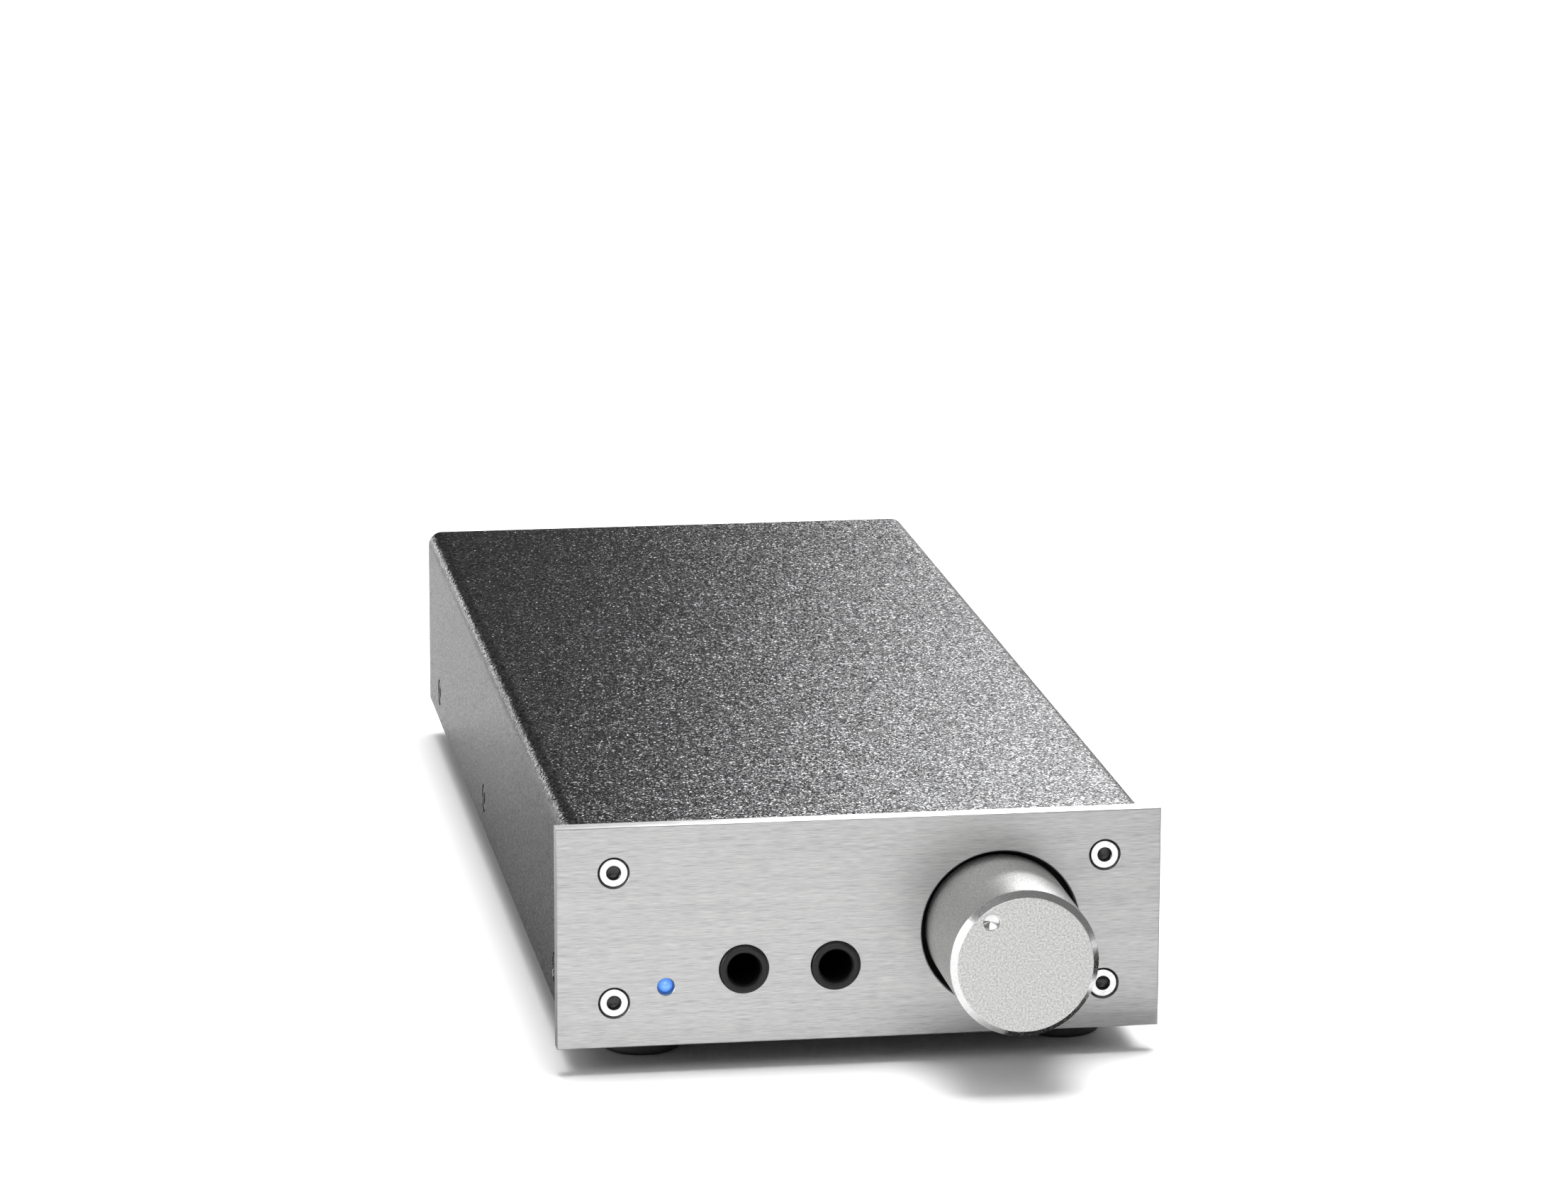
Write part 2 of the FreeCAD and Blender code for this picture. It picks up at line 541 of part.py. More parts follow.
# ---- mains transformer -------------------------------------------------------------------------
def transformer_winding():
    """Wound ring with rounded shoulders, closed round its core."""
    ring = tube(V(COIL_X, COIL_Y, FLOOR + PAD_T), Z, COIL_R, COIL_BORE_R, COIL_H)
    outer_rims = lambda e: e.BoundBox.ZLength < 0.01 and e.BoundBox.XLength > 2 * COIL_R - 1
    return along(ring, outer_rims, 5.0).cut(transformer_core())


def transformer_core():
    return tube(V(COIL_X, COIL_Y, FLOOR + PAD_T + 4.5), Z, COIL_R - 5, COIL_BORE_R + 5, COIL_H - 9)


def transformer_pads():
    top = FLOOR + PAD_T + COIL_H
    return [tube(V(COIL_X, COIL_Y, z), Z, COIL_R - 5.5, COIL_BORE_R, PAD_T) for z in (FLOOR, top)]


def transformer_plate():
    """Dished steel plate that clamps the winding; its boss centres the bolt."""
    top = FLOOR + 2 * PAD_T + COIL_H
    plate = rod(V(COIL_X, COIL_Y, top), Z, COIL_R - 6, PLATE_T)
    boss = rod(V(COIL_X, COIL_Y, top - 4), Z, COIL_BORE_R - 0.5, 4)
    return plate.fuse(boss).cut(rod(V(COIL_X, COIL_Y, top - 4), Z, M5_R + 0.1, 4 + PLATE_T))


def transformer_bolt():
    length = CEILING - 0.9 - FOOT_H
    head = rod(V(COIL_X, COIL_Y, FOOT_H - 2.5), Z, 4.5, 2.5)
    head = along(head, lambda e: e.BoundBox.ZMax < FOOT_H - 2.4, 0.8)
    bolt = head.fuse(rod(V(COIL_X, COIL_Y, FOOT_H), Z, M5_R, length))
    return bolt.cut(hex_rod(V(COIL_X, COIL_Y, FOOT_H - 2.5), Z, 3.0, 1.6))


def transformer_nut():
    top = FLOOR + 2 * PAD_T + COIL_H + PLATE_T
    return nut(V(COIL_X, COIL_Y, top), Z, 8.0, 3.5, M5_R)


# ---- mains inlet -------------------------------------------------------------------------------
def cavity_outline(y):
    half, low = CAVITY_W / 2, CAVITY_Z0
    high, bevel = CAVITY_Z0 + CAVITY_H, CAVITY_BEVEL
    corners = ((-half, low), (half, low), (half, high - bevel), (half - bevel, high),
               (bevel - half, high), (-half, high - bevel))
    return [V(INLET_X + x, y, z) for x, z in corners]


def inlet_pin_places():
    middle = CAVITY_Z0 + CAVITY_H / 2
    return ((INLET_X - 7.0, middle - 2.0), (INLET_X + 7.0, middle - 2.0), (INLET_X, middle + 2.0))


def inlet_body():
    """Moulded three-pin inlet with a slot for the fuse drawer under its cavity."""
    outer_y = WALL_Y + INLET_FLANGE_T
    body = box(INLET_X - INLET_W / 2, WALL_Y - INLET_DEPTH, INLET_Z - INLET_H / 2,
               INLET_X + INLET_W / 2, WALL_Y, INLET_Z + INLET_H / 2)
    flange = box(INLET_X - INLET_FLANGE_W / 2, WALL_Y, INLET_Z - INLET_FLANGE_H / 2,
                 INLET_X + INLET_FLANGE_W / 2, outer_y, INLET_Z + INLET_FLANGE_H / 2)
    flange = along(flange, lambda e: abs(e.CenterOfMass.y - (WALL_Y + outer_y) / 2) < 0.01, 2.0)
    flange = along(flange, lambda e: e.CenterOfMass.y > outer_y - 0.01, 0.5, False)
    cavity = prism(cavity_outline(outer_y - CAVITY_DEPTH), Y * CAVITY_DEPTH)
    gap = DRAWER_GAP
    slot = box(INLET_X - DRAWER_W / 2 - gap, outer_y - DRAWER_LEN - 1, DRAWER_Z0 - gap,
               INLET_X + DRAWER_W / 2 + gap, outer_y, DRAWER_Z0 + DRAWER_H + gap)
    blades = [box(x - 1, WALL_Y - INLET_DEPTH, z - 2, x + 1, outer_y, z + 2) for x, z in inlet_pin_places()]
    return body.fuse(flange).cut([cavity, slot] + blades)


def inlet_pins():
    """Three blades: contact in the cavity, thinner tab behind the body."""
    pins = []
    for x, z in inlet_pin_places():
        blade = box(x - 1, WALL_Y - INLET_DEPTH, z - 2, x + 1, WALL_Y - 2.5, z + 2)
        blade = along(blade, lambda e: e.CenterOfMass.y > WALL_Y - 2.51, 0.5, False)
        back = WALL_Y - INLET_DEPTH
        tab = box(x - TAB_HALF_T, back - TAB_L, z - 2, x + TAB_HALF_T, back, z + 2)
        pins.append(blade.fuse(tab).removeSplitter())
    return pins


def fuse_point():
    return V(INLET_X - FUSE_L / 2, WALL_Y + INLET_FLANGE_T - DRAWER_LEN + 6.0, DRAWER_Z0 + 1.3 + FUSE_R)


def fuse_drawer():
    """Drawer with a pocket across it for the fuse and a grip lip outside."""
    outer_y = WALL_Y + INLET_FLANGE_T + DRAWER_GAP
    half, low, high = DRAWER_W / 2, DRAWER_Z0, DRAWER_Z0 + DRAWER_H
    body = box(INLET_X - half, outer_y - DRAWER_LEN, low, INLET_X + half, outer_y, high)
    lip = box(INLET_X - half - 0.3, outer_y, low - 0.3, INLET_X + half + 0.3, outer_y + 1.5, high + 0.3)
    lip = along(lip, lambda e: e.CenterOfMass.y > outer_y + 1.49, 0.4)
    at = fuse_point()
    room = FUSE_R + 0.2
    pocket = box(at.x - 0.3, at.y - room, at.z - FUSE_R, at.x + FUSE_L + 0.3, at.y + room, high)
    grip = box(INLET_X - 5, outer_y + 0.5, high - 2.0, INLET_X + 5, outer_y + 1.5, high + 0.3)
    return body.fuse(lip).cut([pocket, grip])


def fuse_glass():
    return rod(fuse_point() + X * FUSE_CAP_L, X, FUSE_R - 0.2, FUSE_L - 2 * FUSE_CAP_L)


def fuse_caps():
    return [rod(fuse_point() + X * start, X, FUSE_R, FUSE_CAP_L) for start in (0.0, FUSE_L - FUSE_CAP_L)]


# ---- mains switch ------------------------------------------------------------------------------
SWITCH_WALL, SWITCH_FLANGE_T = 1.05, 1.6
TERMINAL_X, TERMINAL_Z, TERMINAL_HALF_H = 3.2, 4.5, 2.4
ROCKER_HALF, ROCKER_MID, ROCKER_BACK = 7.6, 2.6, 5.0


def pivot_point():
    return V(SWITCH_X, WALL_Y, SWITCH_Z)


def switch_frame():
    """Snap-in frame: shallow flange outside the wall, open box inside it."""
    half_w, half_h = SWITCH_W / 2, SWITCH_H / 2
    body = box(SWITCH_X - half_w, WALL_Y - SWITCH_DEPTH, SWITCH_Z - half_h, SWITCH_X + half_w, WALL_Y,
               SWITCH_Z + half_h)
    flange = box(SWITCH_X - half_w - 1, WALL_Y, SWITCH_Z - half_h - 1, SWITCH_X + half_w + 1,
                 WALL_Y + SWITCH_FLANGE_T, SWITCH_Z + half_h + 1)
    flange = along(flange, lambda e: e.CenterOfMass.y > WALL_Y + SWITCH_FLANGE_T - 0.01, 0.4, False)
    in_w = half_w - SWITCH_WALL
    in_h = half_h - 0.3
    room = box(SWITCH_X - in_w, WALL_Y - 9.5, SWITCH_Z - in_h, SWITCH_X + in_w, WALL_Y + SWITCH_FLANGE_T,
               SWITCH_Z + in_h)
    pivots = rod(pivot_point() - X * 6.25, X, ROCKER_PIN_R + 0.05, 12.5)
    return body.fuse(flange).cut([room, pivots])


def switch_rocker():
    """Rocker with a shallow valley across its face, tilted so that its upper half is pressed in."""
    rise = ROCKER_HALF * math.tan(math.radians(ROCKER_TILT))
    outline = ((ROCKER_MID, 0), (ROCKER_MID + rise, ROCKER_HALF), (0.5, ROCKER_HALF + 0.5),
               (-ROCKER_BACK, 2.5), (-ROCKER_BACK, -2.5), (0.5, -ROCKER_HALF - 0.5),
               (ROCKER_MID + rise, -ROCKER_HALF))
    centre = pivot_point()
    points = [centre + V(-ROCKER_W / 2, y, z) for y, z in outline]
    rocker = prism(points, X * ROCKER_W)
    rocker = rocker.fuse(rod(centre - X * 6.2, X, ROCKER_PIN_R, 12.4)).removeSplitter()
    rocker.rotate(centre, X, ROCKER_TILT)
    return rocker


def switch_terminals():
    back = WALL_Y - SWITCH_DEPTH
    tabs = []
    for x in (SWITCH_X - TERMINAL_X, SWITCH_X + TERMINAL_X):
        for z in (SWITCH_Z - TERMINAL_Z, SWITCH_Z + TERMINAL_Z):
            tabs.append(box(x - TAB_HALF_T, back - TAB_L, z - TERMINAL_HALF_H,
                            x + TAB_HALF_T, back, z + TERMINAL_HALF_H))
    return tabs


# ---- rear sockets ------------------------------------------------------------------------------
RING_T, SOCKET_FLANGE_T, SOCKET_BACK, SOCKET_NUT_AF, SOCKET_NUT_H = 1.0, 1.6, 9.0, 11.0, 2.2
CONTACT_R, CONTACT_BORE_R, CONTACT_TAIL, SHELL_WALL = 2.1, 1.65, 4.0, 0.8


def socket_places(rows=SOCKET_Z, columns=SOCKET_X):
    return [V(x, WALL_Y, z) for x in columns for z in rows]


def socket_shell(at):
    """Turned outer contact: barrel, flange and threaded neck."""
    inner = SOCKET_BARREL_R - SHELL_WALL
    neck = rod(at - Y * SOCKET_BACK, Y, SOCKET_THREAD_R, SOCKET_BACK + RING_T)
    flange = rod(at + Y * RING_T, Y, SOCKET_FLANGE_R, SOCKET_FLANGE_T)
    barrel_start = RING_T + SOCKET_FLANGE_T
    barrel = rod(at + Y * barrel_start, Y, SOCKET_BARREL_R, SOCKET_REACH - barrel_start)
    shell = neck.fuse([flange, barrel])
    shell = along(shell, lambda e: e.BoundBox.YMin > at.y + SOCKET_REACH - 0.01, 0.35)
    return shell.cut(rod(at - Y * SOCKET_BACK, Y, inner, SOCKET_BACK + SOCKET_REACH))


def socket_ring(at):
    """Coloured insulating ring: a washer outside the wall and a bush in its hole."""
    washer = tube(at, Y, SOCKET_FLANGE_R + 0.4, SOCKET_THREAD_R, RING_T)
    bush = tube(at - Y * SHEET, Y, SOCKET_THREAD_R + 0.6, SOCKET_THREAD_R, SHEET)
    return washer.fuse(bush).removeSplitter()


def socket_core(at):
    """White plastic insulator inside the shell."""
    inner = SOCKET_BARREL_R - SHELL_WALL
    return tube(at - Y * SOCKET_BACK, Y, inner, CONTACT_R, SOCKET_BACK + SOCKET_REACH - 1.0)


def socket_contact(at):
    """Centre contact, open at the front for the plug's pin."""
    start = at - Y * (SOCKET_BACK + CONTACT_TAIL)
    length = SOCKET_BACK + CONTACT_TAIL + SOCKET_REACH - 1.3
    return rod(start, Y, CONTACT_R, length).cut(rod(at - Y * 2.0, Y, CONTACT_BORE_R, SOCKET_REACH))


def socket_nut(at):
    return nut(at - Y * (SHEET + 1.0), -Y, SOCKET_NUT_AF, SOCKET_NUT_H, SOCKET_THREAD_R)


def socket_washer(at):
    return tube(at - Y * (SHEET + 1.0), Y, SOCKET_FLANGE_R, SOCKET_THREAD_R, 1.0)


# ---- leads inside the case ---------------------------------------------------------------------
LEAD_WIRE_R, LEAD_WIRE_BEND = 0.9, 3.0
MAINS_LANE_Y = WALL_Y - INLET_DEPTH - 4.0   # mains leads cross between the inlet and the winding
TERMINAL_END_Y = WALL_Y - SWITCH_DEPTH - TAB_L


def coil_side(x, front):
    """Y where a lead at x ends on the winding's side, just clear of its curve."""
    offset = max(abs(x - COIL_X) - LEAD_WIRE_R, 0.0)
    reach = math.sqrt(COIL_R ** 2 - offset ** 2)
    return COIL_Y - reach if front else COIL_Y + reach


def mains_routes():
    """From the tops of two inlet tabs, over the winding's rim, down to the switch's lower terminals."""
    (live_x, tab_z), (neutral_x, _) = inlet_pin_places()[:2]
    low = SWITCH_Z - TERMINAL_Z
    routes = []
    lanes = (live_x, SWITCH_X + TERMINAL_X, 45.2), (neutral_x, SWITCH_X - TERMINAL_X, 43.0)
    for tab_x, end_x, lane_z in lanes:
        y = MAINS_LANE_Y
        routes.append([V(tab_x, y, tab_z + 2), V(tab_x, y, lane_z), V(end_x, y, lane_z), V(end_x, y, low),
                       V(end_x, TERMINAL_END_Y, low)])
    return routes


def primary_routes():
    """From the switch's upper terminals, sideways past the mains leads, to the winding's back."""
    z = SWITCH_Z + TERMINAL_Z
    routes = []
    for start_x, lane_x in ((SWITCH_X + TERMINAL_X, 10.5), (SWITCH_X - TERMINAL_X, -7.5)):
        turn_y = TERMINAL_END_Y - 3.5
        routes.append([V(start_x, TERMINAL_END_Y, z), V(start_x, turn_y, z), V(lane_x, turn_y, z),
                       V(lane_x, coil_side(lane_x, False), z)])
    return routes


def secondary_routes():
    """From the winding's front down to the board."""
    return [[V(x, coil_side(x, True), z), V(x, y, z), V(x, y, BOARD_Z1)]
            for x, y, z in ((-36.0, 38.0, 30.0), (-30.0, 36.0, 26.0), (-6.0, 36.0, 26.0), (0.0, 38.0, 30.0))]


def signal_routes():
    """From the sockets' centre contacts down to the board's rear arm."""
    back = WALL_Y - SOCKET_BACK - CONTACT_TAIL
    return [[V(x, back, z), V(x, back - drop, z), V(x, back - drop, BOARD_Z1)]
            for x in SOCKET_X for z, drop in zip(SOCKET_Z, (5.0, 10.0))]


def earth_route():
    """From the inlet's earth tab down to the tray."""
    x, z = inlet_pin_places()[2]
    start_y = WALL_Y - INLET_DEPTH - TAB_L
    lane_y = start_y - 4.5
    return [V(x, start_y, z), V(x, lane_y, z), V(x, lane_y, FLOOR)]


def internal_leads():
    routes = mains_routes() + primary_routes() + secondary_routes() + signal_routes() + [earth_route()]
    return [wire(route, LEAD_WIRE_R, LEAD_WIRE_BEND) for route in routes]


# ---- all nodes ---------------------------------------------------------------------------------
def nodes():
    lower, upper = SOCKET_Z[:1], SOCKET_Z[1:]
    named = {
        "front_panel": [front_panel()],
        "panel_screws": [countersunk_screw(point, Y, 8.2) for point in panel_screw_points()],
        "top_cover": [top_cover()],
        "cover_screws": [countersunk_screw(point, inward, 6.0) for point, inward in side_screw_points()],
        "base_tray": [base_tray()],
        "press_nuts": press_nuts(),
        "foot_screws": [foot_screw(point) for point in foot_points()],
        "volume_knob": [volume_knob()],
        "knob_set_screw": [knob_set_screw()],
        "potentiometer_shaft": [potentiometer_shaft()],
        "potentiometer_rotor": [potentiometer_rotor()],
        "potentiometer_frame": [potentiometer_frame()],
        "potentiometer_housing": [potentiometer_housing()],
        "potentiometer_nut": [potentiometer_nut()],
        "potentiometer_washer": [potentiometer_washer()],
        "potentiometer_pins": potentiometer_pins(),
        "power_led": [power_led()],
        "led_leads": led_leads(),
        "main_board": [main_board()],
        "board_standoffs": standoffs(),
        "board_screws": board_screws(),
        "reservoir_capacitors": reservoir_capacitors(),
        "film_capacitors": film_capacitors(),
        "amplifier_chips": amplifier_chips(),
        "output_transistors": output_transistors(),
        "transistor_screws": transistor_screws(),
        "bridge_rectifier": [bridge_rectifier()],
        "transformer_winding": [transformer_winding()],
        "transformer_core": [transformer_core()],
        "transformer_pads": transformer_pads(),
        "transformer_plate": [transformer_plate()],
        "transformer_bolt": [transformer_bolt()],
        "transformer_nut": [transformer_nut()],
        "inlet_body": [inlet_body()],
        "inlet_pins": inlet_pins(),
        "fuse_drawer": [fuse_drawer()],
        "fuse_glass": [fuse_glass()],
        "fuse_caps": fuse_caps(),
        "switch_frame": [switch_frame()],
        "switch_rocker": [switch_rocker()],
        "switch_terminals": switch_terminals(),
        "input_socket_shells": [socket_shell(at) for at in socket_places(columns=SOCKET_X[1:])],
        "output_socket_shells": [socket_shell(at) for at in socket_places(columns=SOCKET_X[:1])],
        "left_channel_rings": [socket_ring(at) for at in socket_places(rows=upper)],
        "right_channel_rings": [socket_ring(at) for at in socket_places(rows=lower)],
        "socket_insulators": [socket_core(at) for at in socket_places()],
        "socket_contacts": [socket_contact(at) for at in socket_places()],
        "socket_washers": [socket_washer(at) for at in socket_places()],
        "socket_nuts": [socket_nut(at) for at in socket_places()],
        "internal_leads": internal_leads(),
    }
    for point, name in zip(foot_points(), ("front_left", "front_right", "rear_left", "rear_right")):
        named["foot_" + name] = [foot(point)]
    for x, name in zip(JACK_X, ("left", "right")):
        named["headphone_jack_" + name] = [headphone_jack(x)]
        named["jack_contacts_" + name] = jack_contacts(x)
    for side, name in ((-1, "left"), (1, "right")):
        named["heat_sink_" + name] = [heat_sink(side)]
    return named


os.makedirs("parts", exist_ok=True)
for name, solids in nodes().items():
    shape = solids[0] if len(solids) == 1 else Part.makeCompound(solids)
    shape.exportStep("parts/%s.step" % name)
    print("%-24s %2d solids %10.1f mm3 valid %s" % (name, len(shape.Solids), shape.Volume, shape.isValid()))
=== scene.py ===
"""Looks of the headphone amplifier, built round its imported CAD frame.

The frame's axes: +X right as seen from the front, +Y to the rear, +Z up. Blender's own lengths are in metres.
The part functions work in millimetres, which make() turns into metres by MM.
"""
import json
import math

import bmesh
import bpy
from mathutils import Matrix, Vector


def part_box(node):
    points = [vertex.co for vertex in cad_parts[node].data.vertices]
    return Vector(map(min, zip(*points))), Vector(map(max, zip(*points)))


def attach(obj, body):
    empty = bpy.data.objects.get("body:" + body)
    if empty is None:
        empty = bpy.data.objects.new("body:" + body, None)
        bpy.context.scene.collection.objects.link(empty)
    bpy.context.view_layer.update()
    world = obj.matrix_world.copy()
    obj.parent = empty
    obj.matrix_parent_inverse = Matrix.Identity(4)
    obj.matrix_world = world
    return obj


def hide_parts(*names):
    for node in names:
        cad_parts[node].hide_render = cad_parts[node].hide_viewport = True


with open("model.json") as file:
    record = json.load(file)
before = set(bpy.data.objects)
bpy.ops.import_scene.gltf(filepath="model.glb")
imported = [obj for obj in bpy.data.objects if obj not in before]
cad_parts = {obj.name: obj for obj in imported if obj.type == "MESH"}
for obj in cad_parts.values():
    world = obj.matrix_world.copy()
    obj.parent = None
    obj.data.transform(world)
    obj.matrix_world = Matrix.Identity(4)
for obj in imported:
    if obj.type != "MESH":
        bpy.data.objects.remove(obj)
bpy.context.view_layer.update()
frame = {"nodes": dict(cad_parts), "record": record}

MM = 0.001
SCENE = bpy.context.scene
X, Y, Z = Vector((1, 0, 0)), Vector((0, 1, 0)), Vector((0, 0, 1))
ON_AXIS = 1e-6      # millimetres: a smaller radius is a point on the lathe's axis
WELD = 1e-7         # metres between vertices of a built mesh that are one
CAD_WELD = 1e-6     # metres between vertices of a CAD mesh that are one
FLAT = math.radians(1)      # CAD faces that meet at less are one face
SHARP = math.radians(35)    # CAD edges that bend more get a small radius
CREASE = math.radians(30)   # edges that bend more aren't smoothed over
CLEAR = 1           # millimetres that a cutter stands out in front of the face it cuts


# ---- places read from the frame ----------------------------------------------------------------
def corners(node):
    """Lowest and highest corner of a CAD node, in millimetres."""
    low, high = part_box(node)
    return low / MM, high / MM


def solid_boxes(node):
    """Lowest and highest corner, in millimetres, of each separate solid of a CAD node."""
    bm = bmesh.new()
    bm.from_mesh(frame["nodes"][node].data)
    bmesh.ops.remove_doubles(bm, verts=bm.verts, dist=CAD_WELD)
    left = set(bm.verts)
    boxes = []
    while left:
        front = [left.pop()]
        island = list(front)
        while front:
            vert = front.pop()
            for edge in vert.link_edges:
                other = edge.other_vert(vert)
                if other in left:
                    left.remove(other)
                    front.append(other)
                    island.append(other)
        low = Vector([min(v.co[i] for v in island) for i in range(3)]) / MM
        high = Vector([max(v.co[i] for v in island) for i in range(3)]) / MM
        boxes.append((low, high))
    bm.free()
    return sorted(boxes, key=lambda b: tuple(round(c, 2) for c in b[0]))


def axis_point(box, y):
    """Point at depth y on the front-to-back line through the middle of a box (low, high)."""
    low, high = box
    return Vector(((low.x + high.x) / 2, y, (low.z + high.z) / 2))


PANEL_LOW, PANEL_HIGH = corners("front_panel")
COVER_LOW, COVER_HIGH = corners("top_cover")
KNOB_LOW, KNOB_HIGH = corners("volume_knob")
KNOB_R = (KNOB_HIGH.x - KNOB_LOW.x) / 2
REAR_WALL_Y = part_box("base_tray")[1].y / MM


# ---- mesh building -----------------------------------------------------------------------------
def rounded(points, steps=10, support=0.08):
    """Turn corners (a, b, radius) into a smooth outline: arcs of that radius, and a point beside each arc's
    ends that keeps the straight runs flat in the shading. The first and last points stay as they are."""
    line = []
    for i, (a, b, radius) in enumerate(points):
        here = Vector((a, b))
        if radius <= 0 or i in (0, len(points) - 1):
            line.append(here)
            continue
        back = Vector(points[i - 1][:2]) - here
        ahead = Vector(points[i + 1][:2]) - here
        half = back.angle(ahead) / 2
        reach = radius / math.tan(half)
        centre = here + (back.normalized() + ahead.normalized()).normalized() * (radius / math.sin(half))
        start, end = here + back.normalized() * reach, here + ahead.normalized() * reach
        if back.length > reach + 2 * support:
            line.append(start + back.normalized() * support)
        swing = (end - centre).angle_signed(start - centre)
        for k in range(steps + 1):
            turned = start - centre
            turned.rotate(Matrix.Rotation(swing * k / steps, 2))
            line.append(centre + turned)
        if ahead.length > reach + 2 * support:
            line.append(end + ahead.normalized() * support)
    return [(p.x, p.y) for p in line]


def make(name, verts, faces):
    """New object from vertices in millimetres."""
    mesh = bpy.data.meshes.new(name)
    mesh.from_pydata([Vector(v) * MM for v in verts], [], faces)
    obj = bpy.data.objects.new(name, mesh)
    SCENE.collection.objects.link(obj)
    clean(obj)
    return obj


def clean(obj):
    """Weld, drop edges of no length, and turn all faces outwards."""
    bm = bmesh.new()
    bm.from_mesh(obj.data)
    bmesh.ops.remove_doubles(bm, verts=bm.verts, dist=WELD)
    bmesh.ops.dissolve_degenerate(bm, edges=bm.edges, dist=WELD)
    bmesh.ops.recalc_face_normals(bm, faces=bm.faces)
    bm.to_mesh(obj.data)
    bm.free()


def lathe(name, base, axis, outline, steps=96):
    """Turned solid. The outline holds (radius, distance along axis from base) and starts and ends on the
    axis, or is a closed loop when its first radius isn't zero."""
    side = axis.orthogonal().normalized()
    across = axis.cross(side)
    turns = [2 * math.pi * i / steps for i in range(steps)]
    verts, rings = [], []
    for radius, along in outline:
        centre = base + axis * along
        if radius < ON_AXIS:
            rings.append([len(verts)])
            verts.append(centre)
        else:
            rings.append([len(verts) + i for i in range(steps)])
            verts += [centre + (side * math.cos(t) + across * math.sin(t)) * radius for t in turns]
    pairs = list(zip(rings, rings[1:]))
    if outline[0][0] > ON_AXIS:
        pairs.append((rings[-1], rings[0]))
    faces = []
    for one, two in pairs:
        for i in range(steps):
            j = (i + 1) % steps
            corner_order = (one[i % len(one)], one[j % len(one)], two[j % len(two)], two[i % len(two)])
            loop = list(dict.fromkeys(corner_order))
            if len(loop) > 2:
                faces.append(loop)
    return make(name, verts, faces)


def block(name, low, high, bevels=()):
    """Box with rounded edges. Each bevel is (test on an edge's middle in mm, size in mm)."""
    verts = [(x, y, z) for x in (low[0], high[0]) for y in (low[1], high[1]) for z in (low[2], high[2])]
    faces = [(0, 1, 3, 2), (4, 6, 7, 5), (0, 4, 5, 1), (2, 3, 7, 6), (0, 2, 6, 4), (1, 5, 7, 3)]
    obj = make(name, verts, faces)
    for test, size in bevels:
        soften(obj, test, size)
    return obj


def soften(obj, test, size):
    """Round the edges whose middle (in mm) passes the test."""
    bm = bmesh.new()
    bm.from_mesh(obj.data)
    chosen = [e for e in bm.edges if test((e.verts[0].co + e.verts[1].co) / 2 / MM)]
    bmesh.ops.bevel(bm, geom=chosen, offset=size * MM, segments=3, profile=0.5, affect="EDGES")
    bm.to_mesh(obj.data)
    bm.free()


def prism(name, points, direction):
    """Closed outline, points in millimetres, pushed along direction."""
    count = len(points)
    verts = [Vector(p) for p in points] + [Vector(p) + direction for p in points]
    faces = [tuple(range(count)), tuple(range(2 * count - 1, count - 1, -1))]
    faces += [(i, (i + 1) % count, count + (i + 1) % count, count + i) for i in range(count)]
    return make(name, verts, faces)


def hexagon(name, base, axis, across_flats, length):
    """Six-sided bar from base along axis."""
    side = axis.orthogonal().normalized()
    across = axis.cross(side)
    radius = across_flats / math.sqrt(3)
    turns = [math.radians(60 * i) for i in range(6)]
    ring = [base + (side * math.cos(t) + across * math.sin(t)) * radius for t in turns]
    return prism(name, ring, axis * length)


def turned_about(point, angle, axis):
    """Matrix that turns by angle about an axis through a point given in millimetres."""
    there, back = Matrix.Translation(point * MM), Matrix.Translation(-point * MM)
    return there @ Matrix.Rotation(angle, 4, axis) @ back


def apply(obj, modifier):
    with bpy.context.temp_override(object=obj, active_object=obj):
        bpy.ops.object.modifier_apply(modifier=modifier.name)


def softened_copy(name, node_name, width):
    """Copy of a CAD node's mesh with its sharp edges rounded by width."""
    obj = bpy.data.objects.new(name, frame["nodes"][node_name].data.copy())
    SCENE.collection.objects.link(obj)
    bm = bmesh.new()
    bm.from_mesh(obj.data)
    bmesh.ops.remove_doubles(bm, verts=bm.verts, dist=CAD_WELD)
    bmesh.ops.dissolve_limit(bm, angle_limit=FLAT, verts=bm.verts, edges=bm.edges)
    sharp = [e for e in bm.edges if e.is_manifold and e.calc_face_angle() > SHARP]
    bmesh.ops.bevel(bm, geom=sharp, offset=width * MM, segments=2, profile=0.5, affect="EDGES",
                    clamp_overlap=True)
    bm.to_mesh(obj.data)
    bm.free()
    return obj


def combine(obj, others, operation="DIFFERENCE"):
    """Cut the others out of obj, or join them to it, and remove them."""
    for other in others:
        if not other.data.materials:
            other.data.materials.append(obj.data.materials[0])
        step = obj.modifiers.new("step", "BOOLEAN")
        step.operation, step.object, step.solver = operation, other, "EXACT"
        step.material_mode = "TRANSFER"
        apply(obj, step)
        bpy.data.objects.remove(other)
    clean(obj)
    if not obj.data.polygons:
        raise ValueError("the cuts left nothing of " + obj.name)
    return obj


def coat(obj, material):
    """Add a material; the first one covers the whole piece."""
    obj.data.materials.append(material)
    return obj


def coat_faces(obj, material, test):
    """Second material for the faces whose middle, in millimetres, passes the test."""
    coat(obj, material)
    for face in obj.data.polygons:
        if test(face.center / MM):
            face.material_index = len(obj.data.materials) - 1


